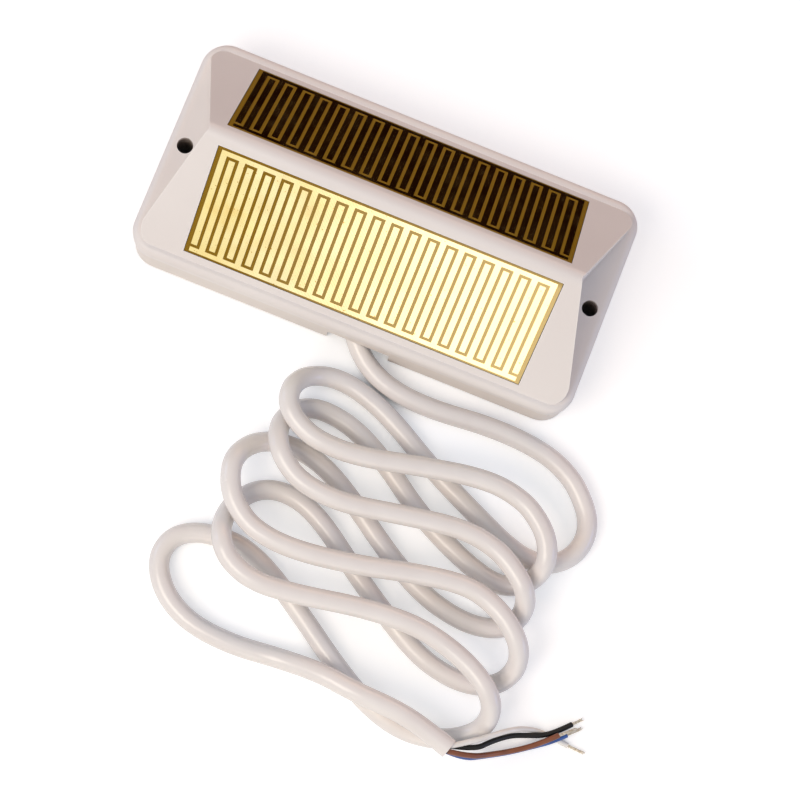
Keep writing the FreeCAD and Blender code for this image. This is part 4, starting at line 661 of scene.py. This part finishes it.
sheath = drawn_pvc("white_pvc_sheath", "e9e2dd", "eee8e3", 1.0, 0.25)
core_skins = {
    "white": drawn_pvc("white_pvc_core", "e6e1da", "efece6", 0.4, 0.32),
    "black": drawn_pvc("black_pvc_core", "090808", "141211", 0.4, 0.38),
    "brown": drawn_pvc("brown_pvc_core", "6b3316", "874a26", 0.4, 0.34),
    "blue": drawn_pvc("blue_pvc_core", "21468c", "3260ab", 0.4, 0.34),
}
soot = core_skins["black"].node_tree.nodes["Principled BSDF"]
soot.inputs["Specular IOR Level"].default_value = 0.25
ribbon_skin = drawn_pvc("red_pvc_ribbon", "8e1f1b", "a32a24", 0.4, 0.36)
print("PVC skins:", len([sheath, ribbon_skin, *core_skins.values()]))

# %% [markdown]
# ## The bare strands
#
# The strands are drawn copper with a coat of tin, put on in a hot bath. Tin is a grey-white metal with
# a soft shine, cloudy where the bath ran off unevenly.

# %% Strands: tinned copper
tin, tree = material("tinned_copper_wire")
where = add(tree, "ShaderNodeTexCoord").outputs["Object"]
bath = add(tree, "ShaderNodeTexNoise", {"Vector": where, "Scale": per(0.6), "Detail": 3.0})
tone = add(tree, "ShaderNodeValToRGB", {"Fac": bath.outputs["Fac"]},
           stops=[(0.3, linear("b5a996")), (0.7, linear("dcd6ca"))])
relief = add(tree, "ShaderNodeBump", {"Height": bath.outputs["Fac"], "Distance": 0.01 * MM, "Strength": 0.5})
shader = add(tree, "ShaderNodeBsdfPrincipled", {
    "Base Color": tone.outputs["Color"], "Metallic": 1.0, "Roughness": 0.28,
    "Normal": relief.outputs["Normal"]})
add(tree, "ShaderNodeOutputMaterial", {"Surface": shader.outputs["BSDF"]})
print("tin, linear:", [round(c, 2) for c in linear("dcd6ca")[:3]])

# %% [markdown]
# ## The screws
#
# The screws are turned steel with a bright zinc plating. Their heads keep fine turning marks, drawn
# 0.25 mm apart, and the zinc crystals make a faint mottle.

# %% Screws: zinc-plated steel
zinc, tree = material("zinc_plated_steel")
where = add(tree, "ShaderNodeTexCoord").outputs["Object"]
marks = add(tree, "ShaderNodeTexWave", {"Vector": where, "Scale": bands(0.25), "Distortion": 3.0,
                                        "Detail": 2.0}, bands_direction="Z")
crystals = add(tree, "ShaderNodeTexVoronoi", {"Vector": where, "Scale": per(0.9)})
tone = add(tree, "ShaderNodeValToRGB", {"Fac": crystals.outputs["Distance"]},
           stops=[(0.1, linear("c9cacc")), (0.8, linear("a9aaad"))])
relief = add(tree, "ShaderNodeBump", {"Height": marks.outputs["Fac"], "Distance": 0.01 * MM, "Strength": 0.4})
shader = add(tree, "ShaderNodeBsdfPrincipled", {
    "Base Color": tone.outputs["Color"], "Metallic": 1.0, "Roughness": 0.34,
    "Normal": relief.outputs["Normal"]})
add(tree, "ShaderNodeOutputMaterial", {"Surface": shader.outputs["BSDF"]})
print("turning marks scale: %.0f" % marks.inputs["Scale"].default_value)

# %% [markdown]
# ## Seal and grommet
#
# Both are moulded EPDM rubber: nearly black, matt, and greyed in patches by the talc that keeps the
# parts from sticking together.

# %% Seal and grommet: EPDM rubber
rubber, tree = material("moulded_epdm")
where = add(tree, "ShaderNodeTexCoord").outputs["Object"]
talc = add(tree, "ShaderNodeTexNoise", {"Vector": where, "Scale": per(0.5), "Detail": 4.0})
tone = add(tree, "ShaderNodeValToRGB", {"Fac": talc.outputs["Fac"]},
           stops=[(0.35, linear("232222")), (0.7, linear("35332f"))])
relief = add(tree, "ShaderNodeBump", {"Height": talc.outputs["Fac"], "Distance": 0.03 * MM, "Strength": 0.4})
shader = add(tree, "ShaderNodeBsdfPrincipled", {
    "Base Color": tone.outputs["Color"], "Roughness": 0.72, "IOR": 1.5, "Normal": relief.outputs["Normal"]})
add(tree, "ShaderNodeOutputMaterial", {"Surface": shader.outputs["BSDF"]})
print("rubber, linear:", [round(c, 3) for c in linear("232222")[:3]])

# %% [markdown]
# ## The heaters
#
# Under each sensing board lies a heater of orange polyimide film with an etched metal track inside,
# which winds to and fro every 1.6 mm. The film is glossy and has a high IOR, and the track stands up
# through it a little.

# %% Heaters: etched polyimide film
TRACK = 1.6  # from one run of the track to the next, in millimetres
heater, tree = material("etched_polyimide_film")
where = add(tree, "ShaderNodeTexCoord").outputs["Object"]
track = add(tree, "ShaderNodeTexWave", {"Vector": where, "Scale": bands(TRACK)}, bands_direction="X")
metal = add(tree, "ShaderNodeValToRGB", {"Fac": track.outputs["Fac"]},
            stops=[(0.55, linear("a85a16")), (0.62, linear("6b4a32"))])
relief = add(tree, "ShaderNodeBump", {"Height": track.outputs["Fac"], "Distance": 0.04 * MM, "Strength": 0.5})
shader = add(tree, "ShaderNodeBsdfPrincipled", {
    "Base Color": metal.outputs["Color"], "Roughness": 0.3, "IOR": 1.7, "Normal": relief.outputs["Normal"]})
add(tree, "ShaderNodeOutputMaterial", {"Surface": shader.outputs["BSDF"]})

# %% [markdown]
# ## The main board
#
# Glass-fibre laminate with copper tracks under green solder mask, which is screen printed and glossy.
# The mask is lighter over the tracks and stands up there by the copper's thickness. Tracks run on a
# raster of 2.54 mm, which a brick pattern with long bricks draws well enough for a board that only
# shows with the cover off.

# %% Main board: solder-masked laminate
RASTER = 2.54  # millimetres
board, tree = material("solder_masked_board")
where = add(tree, "ShaderNodeTexCoord").outputs["Object"]
tracks = add(tree, "ShaderNodeTexBrick", {
    "Vector": where, "Scale": per(1.0), "Brick Width": 3 * RASTER, "Row Height": RASTER,
    "Mortar Size": 0.35, "Mortar Smooth": 0.2, "Color1": linear("1c4a2c"), "Color2": linear("22573a"),
    "Mortar": linear("3c7a4c")}, offset=0.37)
relief = add(tree, "ShaderNodeBump", {"Height": tracks.outputs["Fac"], "Distance": 0.035 * MM,
                                      "Strength": 0.6})
shader = add(tree, "ShaderNodeBsdfPrincipled", {
    "Base Color": tracks.outputs["Color"], "Roughness": 0.3, "IOR": 1.52,
    "Normal": relief.outputs["Normal"]})
add(tree, "ShaderNodeOutputMaterial", {"Surface": shader.outputs["BSDF"]})

# %% [markdown]
# ## Cases of the electronic parts
#
# The terminal block and the headers are green polyamide, the relay's case is blue PBT, the rectifier
# is black epoxy pressed round its chips, and the surge absorber was dipped in blue epoxy lacquer. All
# are plain plastics that differ in tone, grain and shine: moulded ones are even and satin, and the
# dipped one is glossy with lumps about 2 mm apart.


# %% Cases: moulded and dipped plastics
def case_plastic(name, dark, light, grain, roughness):
    """Plastic of a case from two near tones, with its surface grain in millimetres."""
    case, tree = material(name)
    where = add(tree, "ShaderNodeTexCoord").outputs["Object"]
    flow = add(tree, "ShaderNodeTexNoise", {"Vector": where, "Scale": per(6), "Detail": 2.0})
    tone = add(tree, "ShaderNodeValToRGB", {"Fac": flow.outputs["Fac"]},
               stops=[(0.3, linear(dark)), (0.7, linear(light))])
    pits = add(tree, "ShaderNodeTexNoise", {"Vector": where, "Scale": per(grain), "Detail": 3.0})
    relief = add(tree, "ShaderNodeBump", {"Height": pits.outputs["Fac"], "Distance": grain * 0.06 * MM,
                                          "Strength": 0.6})
    shader = add(tree, "ShaderNodeBsdfPrincipled", {
        "Base Color": tone.outputs["Color"], "Roughness": roughness, "IOR": 1.55,
        "Normal": relief.outputs["Normal"]})
    add(tree, "ShaderNodeOutputMaterial", {"Surface": shader.outputs["BSDF"]})
    return case


terminal_green = case_plastic("green_polyamide", "2c6b3d", "347848", 0.3, 0.45)
relay_blue = case_plastic("blue_pbt", "1d4687", "24519a", 0.5, 0.32)
surge_blue = case_plastic("blue_epoxy_dip", "204e96", "2a60ad", 2.0, 0.22)
rectifier_black = case_plastic("black_pressed_epoxy", "191919", "242323", 0.15, 0.6)
print("case plastics:", ", ".join(m.name for m in (terminal_green, relay_blue, surge_blue, rectifier_black)))

# %% [markdown]
# ## Parts that are metal in one place and plastic in another
#
# The capacitor is an aluminium can in a shrunk sleeve, open at the top. The voltage regulator has a
# tinned tab behind its epoxy, and the chip stands on tinned pins. Each is one CAD piece, so its
# material changes at a height or depth that is measured from the piece's own box.


# %% Capacitor, voltage regulator and chip
def two_part(name, axis, limit, above, below):
    """Two finishes split at a place along an axis, each as colour, metallic and roughness."""
    body, tree = material(name)
    where = add(tree, "ShaderNodeTexCoord").outputs["Object"]
    axes = add(tree, "ShaderNodeSeparateXYZ", {0: where})
    over = add(tree, "ShaderNodeMath", {0: axes.outputs[axis], 1: limit}, operation="GREATER_THAN")
    fine = add(tree, "ShaderNodeTexNoise", {"Vector": where, "Scale": per(0.3), "Detail": 3.0})
    relief = add(tree, "ShaderNodeBump", {"Height": fine.outputs["Fac"], "Distance": 0.01 * MM,
                                          "Strength": 0.5})
    tone = add(tree, "ShaderNodeMix", {0: over.outputs[0], 6: linear(below[0]), 7: linear(above[0])},
               data_type="RGBA")
    metal = add(tree, "ShaderNodeMapRange", {"Value": over.outputs[0], "To Min": below[1],
                                             "To Max": above[1]})
    rough = add(tree, "ShaderNodeMapRange", {"Value": over.outputs[0], "To Min": below[2],
                                             "To Max": above[2]})
    shader = add(tree, "ShaderNodeBsdfPrincipled", {
        "Base Color": tone.outputs[2], "Metallic": metal.outputs[0], "Roughness": rough.outputs[0],
        "Normal": relief.outputs["Normal"]})
    add(tree, "ShaderNodeOutputMaterial", {"Surface": shader.outputs["BSDF"]})
    return body


BARE_TOP, TAB, PIN = 0.35, 1.3, 0.5  # the can's bare top, the tab and the pins that show, in millimetres
can_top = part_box("capacitor")[1].z
tab_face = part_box("voltage_regulator")[1].y
chip_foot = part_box("controller_chip")[0].z
capacitor_can = two_part("sleeved_aluminium_can", "Z", can_top - BARE_TOP * MM, ("c4c5c8", 1.0, 0.3),
                         ("1f2a44", 0.0, 0.35))
regulator_tab = two_part("epoxy_on_tinned_tab", "Y", tab_face - TAB * MM, ("b8b6b0", 1.0, 0.32),
                         ("1c1c1c", 0.0, 0.6))
chip_epoxy = two_part("epoxy_over_tinned_pins", "Z", chip_foot + PIN * MM, ("1d1d1d", 0.0, 0.58),
                      ("c2bfb8", 1.0, 0.3))
print("can top at %.1f mm" % (can_top / MM))

# %% [markdown]
# ## Each piece gets its finish
#
# The CAD pieces keep their shapes, and their material slots get the finishes. The new pieces get
# theirs as first material.

# %% Put the finishes on
FINISHES = {
    asa: ("cover", "cord_clamp"),
    base_asa: ("base",),
    laminate: ("front_sensor_board", "back_sensor_board"),
    gold: ("front_signal_comb", "front_ground_comb", "back_signal_comb", "back_ground_comb"),
    heater: ("front_heater", "back_heater"),
    rubber: ("seal", "cord_grommet"),
    zinc: ("housing_screws", "main_board_screws", "clamp_screws"),
    board: ("main_board",),
    terminal_green: ("terminal_block", "lead_headers"),
    relay_blue: ("relay",),
    capacitor_can: ("capacitor",),
    regulator_tab: ("voltage_regulator",),
    chip_epoxy: ("controller_chip",),
    rectifier_black: ("rectifier",),
    surge_blue: ("surge_absorber",),
    ribbon_skin: ("front_sensor_leads", "back_sensor_leads"),
    sheath: ("cord_tail",),
    core_skins["white"]: ("inner_cores",),
}
for finish, names in FINISHES.items():
    for name in names:
        for place in nodes[name].material_slots:
            place.material = finish
cord.data.materials.append(sheath)
for colour, core in cores.items():
    core.data.materials.append(core_skins[colour])
    ends[colour].data.materials.append(tin)
finished = [name for names in FINISHES.values() for name in names]
print("replaced by new pieces:", sorted(set(nodes) - set(finished)))

# %% [markdown]
# ## Closing
#

# %% Update the view layer and close
bpy.context.view_layer.update()
